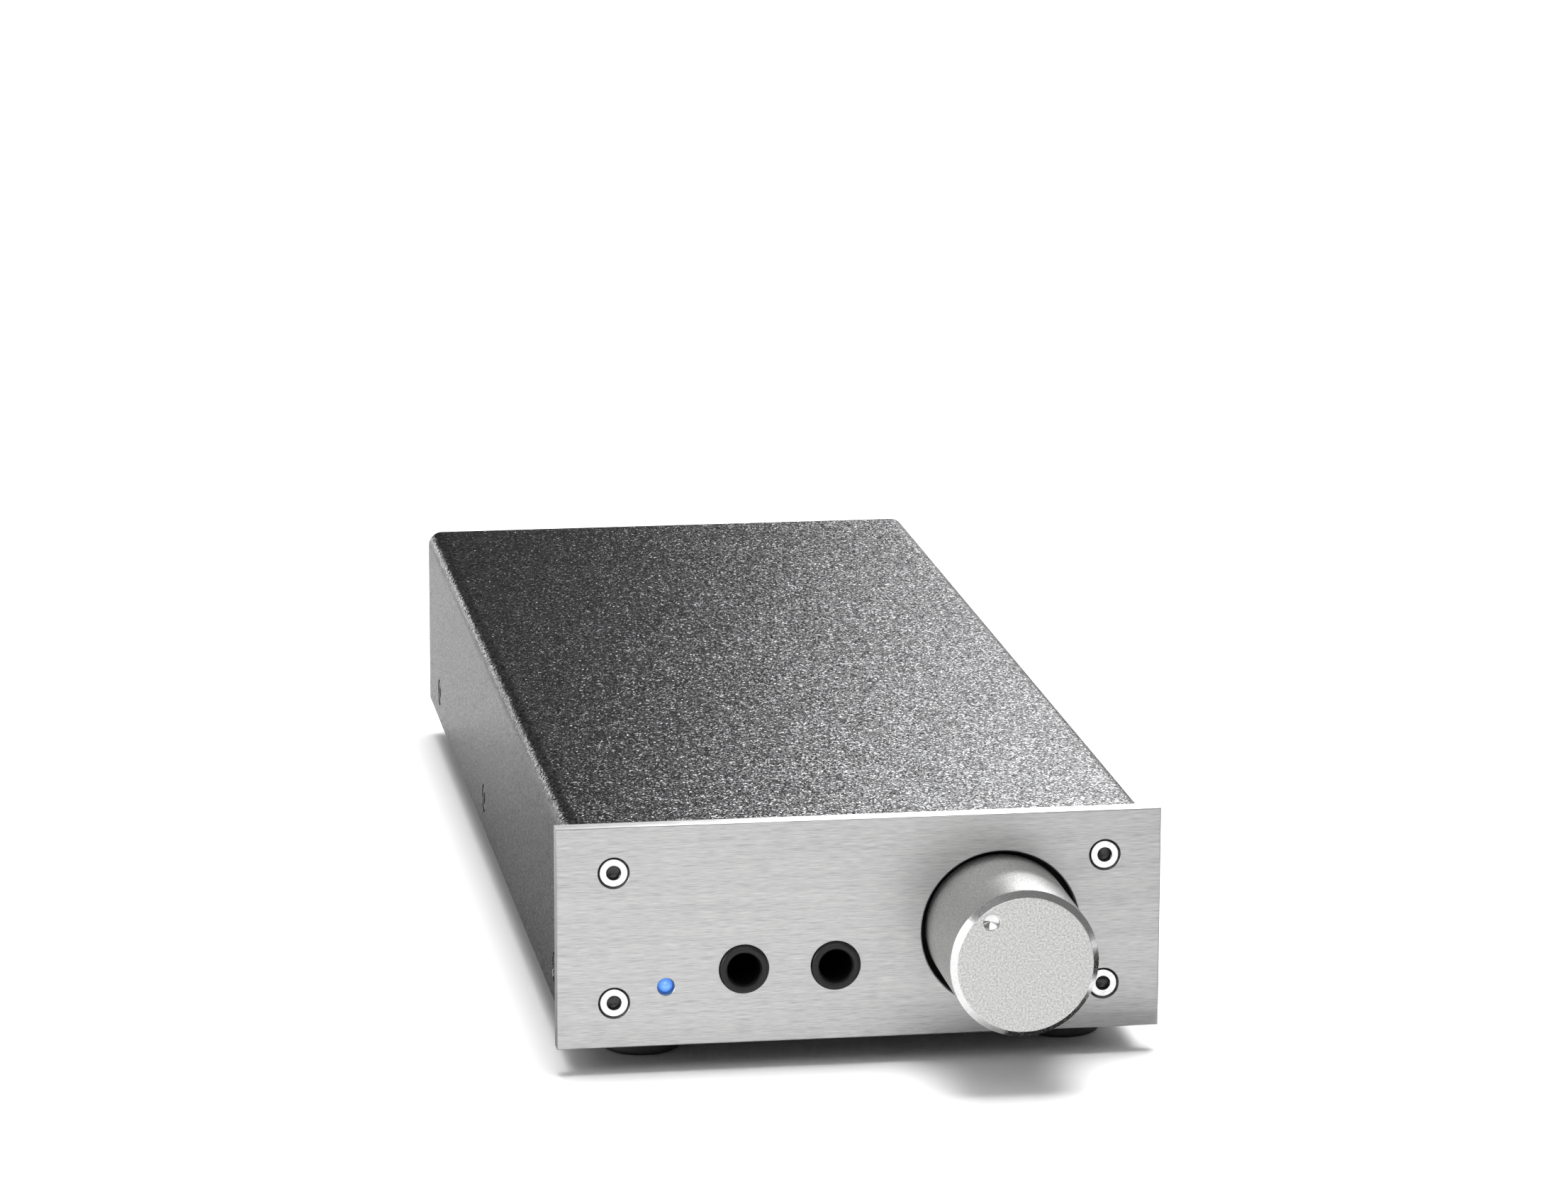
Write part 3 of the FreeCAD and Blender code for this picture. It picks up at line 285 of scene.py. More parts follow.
def dress(obj, body, slot, *nodes):
    """Smooth shading with flat faces and sharp edges kept, then the finish slot's material if the piece has
    none yet, the body, and the CAD nodes that the piece stands for hidden."""
    if not obj.data.materials:
        coat(obj, MATERIAL[slot])
    obj.data.shade_smooth()
    obj.data.set_sharp_from_angle(angle=CREASE)
    even = obj.modifiers.new("normals", "WEIGHTED_NORMAL")
    even.keep_sharp = True
    apply(obj, even)
    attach(obj, body)
    if nodes:
        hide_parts(*nodes)


# ---- materials ---------------------------------------------------------------------------------
def shader(name, **sockets):
    """New material and its Principled shader, with plain values on the named sockets."""
    material = bpy.data.materials.new(name)
    material.use_nodes = True
    principled = material.node_tree.nodes["Principled BSDF"]
    for key, value in sockets.items():
        socket = principled.inputs[key.replace("_", " ")]
        socket.default_value = (*value, 1.0) if isinstance(value, tuple) else value
    return material, principled


def node(material, kind, **values):
    """New shader node; values set its properties or, if it has none of that name, its inputs."""
    made = material.node_tree.nodes.new("ShaderNode" + kind)
    for key, value in values.items():
        if hasattr(made, key):
            setattr(made, key, value)
        elif hasattr(value, "node"):
            material.node_tree.links.new(value, made.inputs[key.replace("_", " ")])
        else:
            made.inputs[key.replace("_", " ")].default_value = value
    return made


def join(material, output, socket):
    material.node_tree.links.new(output, socket)


def stretched(material, scale):
    """Object coordinates in millimetres, scaled along each axis."""
    place = node(material, "TexCoord").outputs["Object"]
    return node(material, "Mapping", Vector=place, Scale=tuple(s / MM for s in scale)).outputs["Vector"]


def noise(material, scale, detail=2.0, roughness=0.5):
    """Noise with a feature about 1/scale millimetres wide along each axis."""
    if isinstance(scale, (int, float)):
        scale = (scale, scale, scale)
    return node(material, "TexNoise", Vector=stretched(material, scale), Scale=1.0, Detail=detail,
                Roughness=roughness).outputs["Fac"]


def ramp(material, factor, stops):
    """Piecewise map of factor to grey or colour."""
    made = node(material, "ValToRGB", Fac=factor)
    elements = made.color_ramp.elements
    while len(elements) < len(stops):
        elements.new(0.5)
    for element, (place, value) in zip(elements, stops):
        element.position = place
        element.color = (value, value, value, 1.0) if isinstance(value, (int, float)) else (*value, 1.0)
    return made.outputs["Color"]


def drive(material, principled, **maps):
    """Join sockets of the Principled shader to ramps, each given as (factor, stops)."""
    for key, (factor, stops) in maps.items():
        join(material, ramp(material, factor, stops), principled.inputs[key.replace("_", " ")])


def mix(material, factor, one, two):
    """Colour that runs from one to two as factor goes from 0 to 1."""
    made = node(material, "Mix", data_type="RGBA")
    for socket, value in ((made.inputs[0], factor), (made.inputs[6], one), (made.inputs[7], two)):
        if hasattr(value, "node"):
            join(material, value, socket)
        elif isinstance(value, tuple):
            socket.default_value = (*value, 1.0)
        else:
            socket.default_value = value
    return made.outputs[2]


def vector_math(material, operation, one, two=None):
    """Result of a vector operation on sockets or plain vectors."""
    made = node(material, "VectorMath", operation=operation)
    for socket, value in zip(made.inputs, (one, two)):
        if hasattr(value, "node"):
            join(material, value, socket)
        elif value:
            socket.default_value = value
    return made.outputs["Vector"]


def bump(material, principled, height, strength, distance):
    """Bump whose height is given in millimetres."""
    made = node(material, "Bump", Height=height, Strength=strength, Distance=distance * MM)
    join(material, made.outputs["Normal"], principled.inputs["Normal"])


def brushed_aluminium():
    """Clear anodised plate, brushed along its width."""
    material, main = shader("brushed_aluminium", Metallic=0.92, Anisotropic=0.3)
    hair = noise(material, (0.28, 1.0, 6.5), detail=6.0, roughness=0.62)
    streak = noise(material, (0.03, 0.4, 1.6), detail=3.0, roughness=0.5)
    tone = mix(material, 0.35, ramp(material, hair, ((0.25, 0.0), (0.75, 1.0))), streak)
    drive(material, main, Base_Color=(tone, ((0.2, (0.28, 0.28, 0.283)), (0.8, (0.505, 0.505, 0.50)))),
          Roughness=(hair, ((0.2, 0.42), (0.8, 0.30))))
    bump(material, main, hair, 0.35, 0.012)
    return material


def blasted_aluminium():
    """Bead-blasted and anodised: an even fine grain."""
    material, main = shader("blasted_aluminium", Metallic=0.92)
    grain = noise(material, 2.8, detail=2.0)
    drive(material, main, Base_Color=(grain, ((0.3, (0.325, 0.325, 0.321)), (0.7, (0.595, 0.595, 0.589)))),
          Roughness=(noise(material, 1.2), ((0.3, 0.45), (0.7, 0.53))))
    bump(material, main, grain, 0.5, 0.03)
    return material


FLAKES = 2.8                                # flakes per millimetre
FLAKE_TILT = (0.21, 0.21, 0.21)
FLAKE_GREY, PAINT_TINT = (0.43, 0.43, 0.44), (0.42, 0.42, 0.42)


def textured_paint():
    """Dark metallic powder coat: a fine pebbled surface whose flakes each face their own way."""
    material, main = shader("textured_paint", Metallic=0.9, Specular_Tint=PAINT_TINT)
    pebble = noise(material, 2.2, detail=1.5)
    spots = stretched(material, (FLAKES, FLAKES, FLAKES))
    flake = node(material, "TexVoronoi", Vector=spots, Scale=1.0).outputs
    base = ramp(material, pebble, ((0.40, (0.030, 0.030, 0.031)), (0.62, (0.17, 0.17, 0.174))))
    luck = node(material, "TexWhiteNoise", Vector=flake["Position"]).outputs["Value"]
    shine = ramp(material, luck, ((0.66, 0.0), (0.94, 1.0)))
    join(material, mix(material, shine, base, FLAKE_GREY), main.inputs["Base Color"])
    drive(material, main, Roughness=(pebble, ((0.34, 0.25), (0.66, 0.17))))
    rough = node(material, "Bump", Height=pebble, Strength=1.0, Distance=0.05 * MM).outputs["Normal"]
    random_tilt = vector_math(material, "SUBTRACT", flake["Color"], (0.5, 0.5, 0.5))
    tilt = vector_math(material, "MULTIPLY", random_tilt, FLAKE_TILT)
    tilted = vector_math(material, "NORMALIZE", vector_math(material, "ADD", rough, tilt))
    join(material, tilted, main.inputs["Normal"])
    return material


def bright_steel(name, tone, roughness):
    """Turned or plated metal with faint patches of wear."""
    material, main = shader(name, Metallic=1.0)
    wear = noise(material, 1.6, detail=4.0, roughness=0.6)
    drive(material, main, Base_Color=(wear, ((0.3, tone * 0.9), (0.7, tone))),
          Roughness=(wear, ((0.3, roughness * 1.25), (0.7, roughness * 0.8))))
    return material


def gold_plate():
    material, main = shader("gold_plate", Metallic=1.0)
    wear = noise(material, 1.2, detail=3.0)
    drive(material, main, Base_Color=(wear, ((0.3, (0.80, 0.56, 0.20)), (0.7, (0.90, 0.68, 0.30)))),
          Roughness=(wear, ((0.3, 0.26), (0.7, 0.18))))
    return material


def moulded(name, colour, roughness, grain=0.02, shine=0.5):
    """Moulded plastic or rubber with a fine skin grain."""
    material, main = shader(name, Specular_IOR_Level=shine)
    skin = noise(material, 3.0, detail=3.0)
    dark = tuple(c * 0.8 for c in colour)
    drive(material, main, Base_Color=(skin, ((0.3, dark), (0.7, colour))),
          Roughness=(skin, ((0.3, roughness * 1.15), (0.7, roughness * 0.9))))
    bump(material, main, skin, 0.3, grain)
    return material


def lit_lens():
    """Blue epoxy lamp, lit from inside: brightest at its middle."""
    material, main = shader("lit_lens", Base_Color=(0.05, 0.16, 0.6), Roughness=0.12, Coat_Weight=0.6,
                            Coat_Roughness=0.05, Emission_Strength=0.8)
    glow = node(material, "LayerWeight", Blend=0.35).outputs["Facing"]
    drive(material, main, Emission_Color=(glow, ((0.0, (0.16, 0.42, 1.0)), (0.9, (0.02, 0.10, 0.55)))))
    return material


def clear_glass():
    material, main = shader("clear_glass", Base_Color=(0.95, 0.97, 0.96), IOR=1.5, Transmission_Weight=1.0)
    drive(material, main, Roughness=(noise(material, 0.5), ((0.3, 0.02), (0.7, 0.06))))
    return material


def wound_copper():
    """Enamelled wire under tape: fine turns round the ring."""
    material, main = shader("wound_copper", Metallic=0.6, Roughness=0.35, Coat_Weight=0.5)
    turns = noise(material, (2.4, 2.4, 0.08), detail=2.0)
    drive(material, main, Base_Color=(turns, ((0.3, (0.30, 0.12, 0.04)), (0.7, (0.66, 0.32, 0.12)))))
    bump(material, main, turns, 0.5, 0.15)
    return material


MATERIAL = {
    "panel_aluminium": brushed_aluminium(),
    "knob_aluminium": blasted_aluminium(),
    "case_paint": textured_paint(),
    "screw_steel": bright_steel("bright_steel", 0.66, 0.22),
    "zinc_steel": bright_steel("zinc_steel", 0.62, 0.38),
    "shaft_metal": bright_steel("shaft_metal", 0.70, 0.28),
    "blade_metal": bright_steel("blade_metal", 0.68, 0.3),
    "core_steel": bright_steel("core_steel", 0.30, 0.45),
    "sink_aluminium": bright_steel("sink_aluminium", 0.06, 0.5),
    "socket_gold": gold_plate(),
    "contact_metal": gold_plate(),
    "foot_rubber": moulded("foot_rubber", (0.018, 0.018, 0.019), 0.6, 0.03),
    "black_plastic": moulded("black_plastic", (0.012, 0.012, 0.013), 0.32, shine=0.25),
    "rocker_plastic": moulded("rocker_plastic", (0.012, 0.012, 0.012), 0.22, 0.01),
    "chip_epoxy": moulded("chip_epoxy", (0.02, 0.02, 0.02), 0.6),
    "pad_rubber": moulded("pad_rubber", (0.03, 0.03, 0.03), 0.7),
    "board_laminate": moulded("board_laminate", (0.02, 0.12, 0.05), 0.3, 0.01),
    "can_sleeve": moulded("can_sleeve", (0.03, 0.035, 0.07), 0.3, 0.01),
    "film_block": moulded("film_block", (0.45, 0.05, 0.03), 0.3, 0.01),
    "white_plastic": moulded("white_plastic", (0.78, 0.78, 0.76), 0.35, 0.01),
    "red_plastic": moulded("red_plastic", (0.55, 0.015, 0.015), 0.35, 0.01),
    "lead_insulation": moulded("lead_insulation", (0.05, 0.07, 0.25), 0.45, 0.01),
    "lamp_lens": lit_lens(),
    "fuse_glass": clear_glass(),
    "copper_winding": wound_copper(),
}

# For single faces, and for pieces that aren't the colour of their finish slot.
POLISHED = bright_steel("polished_cut", 0.62, 0.2)
CUT_EDGE = bright_steel("cut_edge", 0.60, 0.24)
# Near-black for the tray's front flange: painted shade in the gap round the knob.
GAP_SHADE = moulded("painted_gap_shade", (0.006, 0.006, 0.006), 0.6, shine=0.1)
# Near-black for the screws' hex sockets: painted shade in the recess.
SOCKET_SHADE = bright_steel("painted_socket_shade", 0.05, 0.3)
BLACK_OXIDE = bright_steel("black_oxide", 0.07, 0.4)


def paint_cad_nodes():
    """Give every CAD node the material of its finish slot."""
    slots = {part["node"]: part["material_slot"] for part in frame["record"]["subparts"]}
    for name, obj in frame["nodes"].items():
        for place in obj.material_slots:
            place.material = MATERIAL[slots[name]]


# ---- front panel -------------------------------------------------------------------------------
PANEL_EDGE, PANEL_REAR_EDGE = 0.3, 0.15
KNOB_GAP, JACK_HOLE_R, LAMP_HOLE_R = 1.15, 4.9, 1.7
KNOB_HOLE_FLARE, JACK_HOLE_FLARE, LAMP_HOLE_FLARE = 0.22, 0.1, 0.12
COUNTERSINK_R, COUNTERSINK_LIP, COUNTERSINK_STRAIGHT, SCREW_HOLE_R = 3.15, 0.06, 0.45, 1.6


def hole_cutter(at, radius, depth, flare, steps=128):
    """Round hole to the rear from the face point at, with a small bevel at its mouth."""
    outline = [(0, -CLEAR), (radius + flare + CLEAR, -CLEAR), (radius, flare), (radius, depth), (0, depth)]
    return lathe("cutter", at, Y, outline, steps)


def countersink_cutter(at, axis, depth):
    """Screw hole with a broken edge, a short straight run and its cone."""
    lip_r = COUNTERSINK_R + COUNTERSINK_LIP
    cone = COUNTERSINK_STRAIGHT + COUNTERSINK_R - SCREW_HOLE_R
    outline = [(0, -CLEAR), (lip_r + 0.5, -CLEAR), (lip_r, 0), (COUNTERSINK_R, COUNTERSINK_LIP),
               (COUNTERSINK_R, COUNTERSINK_STRAIGHT), (SCREW_HOLE_R, cone), (SCREW_HOLE_R, depth), (0, depth)]
    return lathe("cutter", at, axis, outline)


def on_panel(box):
    """Point on the panel's face in front of a box's middle."""
    return axis_point(box, PANEL_LOW.y)


def front_panel():
    """Plate with the holes for knob, jacks and lamp and four countersinks."""
    plate = block("panel_plate", PANEL_LOW, PANEL_HIGH, [
        (lambda m: m.y < PANEL_LOW.y + 0.01, PANEL_EDGE),
        (lambda m: m.y > PANEL_HIGH.y - 0.01, PANEL_REAR_EDGE)])
    coat(plate, MATERIAL["panel_aluminium"])
    depth = PANEL_HIGH.y - PANEL_LOW.y + CLEAR
    knob_place = on_panel((KNOB_LOW, KNOB_HIGH))
    cutters = [hole_cutter(knob_place, KNOB_R + KNOB_GAP, depth, KNOB_HOLE_FLARE, steps=256)]
    for node_name in ("headphone_jack_left", "headphone_jack_right"):
        cutters.append(hole_cutter(on_panel(corners(node_name)), JACK_HOLE_R, depth, JACK_HOLE_FLARE))
    cutters.append(hole_cutter(on_panel(corners("power_led")), LAMP_HOLE_R, depth, LAMP_HOLE_FLARE))
    cutters += [countersink_cutter(on_panel(box), Y, depth) for box in solid_boxes("panel_screws")]
    combine(plate, cutters)
    dress(plate, "chassis", "panel_aluminium", "front_panel")


# ---- screws ------------------------------------------------------------------------------------
def countersunk_screw(name, head, inward, length, turn, material):
    """Countersunk screw with a rolled rim and a hexagon socket with a drilled bottom; the socket is painted
    near-black, a painted shade in the recess. Its socket is turned by turn degrees."""
    head_r, shank_r, tip, key, key_depth, point = 2.75, 1.5, 0.3, 2.5, 1.2, 0.5
    cone = head_r - shank_r
    drill_r, mouth_r = key / 2 - 0.1, key / math.sqrt(3) + 0.04
    outline = rounded([
        (0, key_depth + point, 0), (drill_r, key_depth + 0.03, 0), (drill_r, mouth_r - drill_r, 0),
        (mouth_r, 0, 0), (head_r, 0, 0.12), (head_r, 0.25, 0), (shank_r, cone + 0.2, 0.1),
        (shank_r, length - tip, 0), (shank_r - tip, length, 0), (0, length, 0)], 6, 0.05)
    screw = coat(lathe(name, head, inward, outline), material)
    # The socket's drilled bottom and mouth: painted shade.
    coat_faces(screw, SOCKET_SHADE, lambda m: (m - head).dot(inward) < key_depth + point
               and (m - head).cross(inward).length < mouth_r)
    # The hexagon's walls take the same painted shade.
    socket = hexagon("cutter", head - inward * CLEAR, inward, key, key_depth + CLEAR)
    socket.data.transform(turned_about(head, math.radians(turn), inward))
    return combine(screw, [coat(socket, SOCKET_SHADE)])


def panel_screws():
    for i, (low, high) in enumerate(solid_boxes("panel_screws")):
        name, turn = "panel_screw_%d" % (i + 1), 17 + 23 * i
        head = axis_point((low, high), low.y)
        screw = countersunk_screw(name, head, Y, high.y - low.y, turn, MATERIAL["screw_steel"])
        dress(screw, "chassis", "screw_steel", "panel_screws")


def side_screw_heads():
    """Head point and inward direction of each cover screw, with its length."""
    for low, high in solid_boxes("cover_screws"):
        side_x, inward = (high.x, -X) if low.x > 0 else (low.x, X)
        yield Vector((side_x, (low.y + high.y) / 2, (low.z + high.z) / 2)), inward, high.x - low.x


def cover_screws():
    for i, (head, inward, length) in enumerate(side_screw_heads()):
        name, turn = "cover_screw_%d" % (i + 1), 11 + 37 * i
        screw = countersunk_screw(name, head, inward, length, turn, BLACK_OXIDE)
        dress(screw, "chassis", "screw_steel", "cover_screws")


# ---- case --------------------------------------------------------------------------------------
def top_cover():
    """U-shaped sheet with two rounded bends."""
    sheet, bend = 1.5, 3.2

    def skin_line(half, top, radius):
        low = COVER_LOW.z
        return rounded([(-half, low, 0), (-half, top, radius), (half, top, radius), (half, low, 0)], 16, 0.4)

    outer = skin_line(COVER_HIGH.x, COVER_HIGH.z, bend)
    inner = skin_line(COVER_HIGH.x - sheet, COVER_HIGH.z - sheet, bend - sheet)
    count = len(outer)
    verts = [(x, y, z) for y in (COVER_LOW.y, COVER_HIGH.y) for line in (outer, inner) for x, z in line]
    rear = 2 * count
    faces = []
    for i in range(count - 1):
        for skin in (i, count + i):
            faces.append((skin, skin + 1, rear + skin + 1, rear + skin))
        for end in (i, rear + i):
            faces.append((end, end + 1, count + end + 1, count + end))
    faces += [(i, count + i, rear + count + i, rear + i) for i in (0, count - 1)]
    cover = coat(make("cover_shell", verts, faces), MATERIAL["case_paint"])
    cutters = []
    for head, inward, _ in side_screw_heads():
        side_x = -inward.x * COVER_HIGH.x
        cutters.append(countersink_cutter(Vector((side_x, head.y, head.z)), inward, 2 * sheet))
    combine(cover, cutters)
    dress(cover, "chassis", "case_paint", "top_cover")


def feet():
    """Rubber feet with a rolled lower rim and a screw recess."""
    recess_r, recess, hole_r = 3.6, 4, 1.6
    for name in ("foot_front_left", "foot_front_right", "foot_rear_left", "foot_rear_right"):
        low, high = corners(name)
        at = (low + high) / 2
        radius, height = (high.x - low.x) / 2, high.z - low.z
        outline = rounded([(recess_r, 0, 0), (radius, 0, 1.0), (radius, height, 0.3), (hole_r, height, 0),
                           (hole_r, recess, 0), (recess_r, recess, 0)], 8)
        foot = lathe(name.replace("foot", "rubber_foot"), Vector((at.x, at.y, 0)), Z, outline)
        dress(foot, "chassis", "foot_rubber", name)


# ---- knob --------------------------------------------------------------------------------------
def volume_knob():
    """Turned cylinder with a bevelled front edge and a drilled dimple."""
    front = axis_point((KNOB_LOW, KNOB_HIGH), KNOB_LOW.y)
    length = KNOB_HIGH.y - KNOB_LOW.y
    edge, edge_round, recess_r, recess, shaft_r, bore = 1.3, 0.35, 8.5, 7.0, 3.0, 22.5
    outline = rounded([
        (0, 0, 0), (KNOB_R - edge, 0, edge_round), (KNOB_R, edge, edge_round), (KNOB_R, length, 0.3),
        (recess_r, length, 0), (recess_r, length - recess, 0), (shaft_r, length - recess, 0),
        (shaft_r, length - bore, 0), (0, length - bore, 0)], 14)
    knob = coat(lathe("knob_body", front, Y, outline, 256), MATERIAL["knob_aluminium"])
    coat_faces(knob, CUT_EDGE, lambda m: 0.05 < m.y - front.y < edge - 0.05)
    turn, offset, radius = math.radians(37.6), 11.1, 1.6
    mark = front + Vector((-math.sin(turn), 0, math.cos(turn))) * offset
    dimple = lathe("cutter", mark, Y, [
        (0, -0.5), (radius + 0.12, -0.5), (radius + 0.12, 0), (radius, 0.1), (radius - 0.1, 0.45),
        (0.35, 1.2), (0, 1.25)])
    hole_r, hole_y, hole_top, hole_end = 1.5, 14, 2, 15
    screw_hole = lathe("cutter", front + Y * hole_y - Z * hole_top, -Z,
                       [(0, 0), (hole_r, 0), (hole_r, hole_end), (0, hole_end)], 48)
    combine(knob, [coat(dimple, POLISHED), screw_hole])
    dress(knob, "volume_control", "knob_aluminium", "volume_knob")


# ---- jacks and lamp ----------------------------------------------------------------------------
def headphone_jacks():
    """Moulded jacks: a ring-shaped nose in front, the body behind the panel."""
    bore_r, nose_r, sleeve_r, depth = 3.25, 4.8, 6.5, 33.5
    cavity_r, cavity_end, bore_end = 6.0, 32.2, 33
    for side in ("left", "right"):
        node_name = "headphone_jack_" + side
        low, high = corners(node_name)
        mouth = axis_point((low, high), low.y)
        seat = PANEL_HIGH.y + 1.5 - low.y
        nose = rounded([
            (bore_r, 0.6, 0), (bore_r + 0.3, 0.1, 0.12), (4.0, 0, 0.2), (nose_r, 0, 0.55), (nose_r, seat, 0),
            (sleeve_r, seat, 0), (sleeve_r, depth, 0), (bore_r, depth, 0)], 8, 0.04)
        shell = lathe("jack_nose_" + side, mouth, Y, nose, 128)
        body = block("jack_body_" + side, (low.x, low.y + seat, low.z), high,
                     [(lambda m, top=high.z: m.z > top - 0.01, 1.0)])
        cavity = lathe("cutter", mouth, Y, [
            (0, 0), (cavity_r, 0), (cavity_r, cavity_end), (bore_r, cavity_end), (bore_r, bore_end),
            (0, bore_end)], 64)
        combine(coat(body, MATERIAL["black_plastic"]), [cavity])
        for piece in (shell, body):
            dress(piece, "chassis", "black_plastic", node_name)


def power_lamp():
    """Round-nosed lamp with a flange at its rear."""
    low, high = corners("power_led")
    at = axis_point((low, high), low.y)
    radius, length, flange_r, flange = 1.5, high.y - low.y, 1.9, 1.0
    angles = [math.radians(t) for t in range(0, 91, 6)]
    dome = [(radius * math.sin(t), radius * (1 - math.cos(t))) for t in angles]
    outline = dome + [(radius, length - flange), (flange_r, length - flange), (flange_r, length), (0, length)]
    lamp = lathe("lamp_dome", at, Y, outline, 64)
    dress(lamp, "chassis", "lamp_lens", "power_led")


# ---- rear wall ---------------------------------------------------------------------------------
def sheet_metal_and_mouldings():
    """Nodes whose CAD shape is right, with the small edge radius of folded sheet, moulding or stamping."""
    for node_name, body, slot, width in (
            ("foot_screws", "chassis", "screw_steel", 0.15),
            ("inlet_body", "chassis", "black_plastic", 0.3),
            ("inlet_pins", "chassis", "blade_metal", 0.15),
            ("fuse_drawer", "fuse_holder", "black_plastic", 0.2),
            ("switch_frame", "chassis", "rocker_plastic", 0.2),
            ("transformer_bolt", "chassis", "zinc_steel", 0.2)):
        dress(softened_copy(node_name + "_rounded", node_name, width), body, slot, node_name)


def base_tray():
    """Folded tray. Its front flange, behind the panel, is painted near-black: painted shade seen through the
    gap round the knob.
    """
    tray = softened_copy("base_tray_rounded", "base_tray", 0.12)
    # The front flange gets the near-black painted shade.
    coat_faces(tray, GAP_SHADE, lambda m: m.y < PANEL_HIGH.y + 2)
    dress(tray, "chassis", "case_paint", "base_tray")


def rear_socket_parts():
    """Turned shells, coloured rings, white insulators and slit centre contacts of the four sockets."""
    flange_r, barrel_r, thread_r, barrel_wall = 6.0, 4.15, 4.0, 0.8
    inner_r = barrel_r - barrel_wall

    def turned(node_name, label, slot, outline):
        for i, box in enumerate(solid_boxes(node_name)):
            at = axis_point(box, REAR_WALL_Y)
            piece = lathe("%s_%d" % (label, i + 1), at, Y, outline)
            yield piece, at, slot, node_name

    shell = rounded([(inner_r, -9, 0), (thread_r, -9, 0.2), (thread_r, 1, 0), (flange_r, 1, 0.2),
                     (flange_r, 2.6, 0.35), (barrel_r + 0.1, 2.6, 0.15), (barrel_r + 0.1, 3.4, 0.1),
                     (barrel_r - 0.2, 3.6, 0.1), (barrel_r - 0.2, 4.0, 0.1), (barrel_r, 4.2, 0.1),
                     (barrel_r, 11, 0.35), (inner_r, 11, 0.25), (inner_r, 9, 0)], 6, 0.03)
    ring = rounded([(thread_r, -1.5, 0), (thread_r + 0.6, -1.5, 0.1), (thread_r + 0.6, 0, 0),
                    (flange_r + 0.4, 0, 0.1), (flange_r + 0.4, 1, 0.3), (thread_r, 1, 0)], 6, 0.03)
    core = rounded([(2.1, -9, 0), (inner_r, -9, 0), (inner_r, 9.9, 0.15), (2.6, 9.6, 0.3),
                    (2.1, 9.0, 0)], 6, 0.03)
    contact = rounded([(0, -13, 0), (2.1, -13, 0.3), (2.1, 9.7, 0.2), (1.85, 9.7, 0), (1.65, 9.4, 0),
                       (1.65, -2, 0), (0, -2, 0)], 6, 0.03)
    pieces = []
    pieces += turned("input_socket_shells", "input_shell", "socket_gold", shell)
    pieces += turned("output_socket_shells", "output_shell", "socket_gold", shell)
    pieces += turned("left_channel_rings", "left_ring", "white_plastic", ring)
    pieces += turned("right_channel_rings", "right_ring", "red_plastic", ring)
    pieces += turned("socket_insulators", "insulator", "white_plastic", core)
    slit_half, slit_reach, slit_from, slit_to = 0.2, 3, 3.5, 11
    for piece, at, slot, node_name in turned("socket_contacts", "contact", "contact_metal", contact):
        coat(piece, MATERIAL[slot])
        slits = [block("cutter", at + Vector((-w, slit_from, -h)), at + Vector((w, slit_to, h)))
                 for w, h in ((slit_reach, slit_half), (slit_half, slit_reach))]
        pieces.append((combine(piece, slits), at, slot, node_name))
    for piece, _, slot, node_name in pieces:
        dress(piece, "chassis", slot, node_name)


def fuse():
    """Glass tube fuse: hollow glass, end caps with a crimped rim, and its wire."""
    low, high = corners("fuse_glass")
    caps_low, caps_high = corners("fuse_caps")
    at = Vector((low.x, (low.y + high.y) / 2, (low.z + high.z) / 2))
    radius, cap_r = (high.z - low.z) / 2, (caps_high.z - caps_low.z) / 2
    length, cap, glass_wall, wire_r = high.x - low.x, low.x - caps_low.x, 0.5, 0.12
    inner_r = radius - glass_wall
    glass = lathe("fuse_tube", at, X, [(inner_r, 0), (radius, 0), (radius, length), (inner_r, length)], 64)
    dress(glass, "fuse_holder", "fuse_glass", "fuse_glass")
    outline = rounded([(0, 0, 0), (cap_r, 0, 0.5), (cap_r, cap - 0.9, 0.1), (cap_r - 0.2, cap - 0.6, 0.1),
                       (cap_r, cap - 0.3, 0.1), (cap_r, cap, 0.1), (0, cap, 0)], 6, 0.03)
    for name, end, axis in (("fuse_cap_left", caps_low.x, X), ("fuse_cap_right", caps_high.x, -X)):
        cup = lathe(name, Vector((end, at.y, at.z)), axis, outline, 64)
        dress(cup, "fuse_holder", "contact_metal", "fuse_caps")
    wire = lathe("fuse_wire", at, X, [(0, 0), (wire_r, 0), (wire_r, length), (0, length)], 12)
    dress(wire, "fuse_holder", "contact_metal")


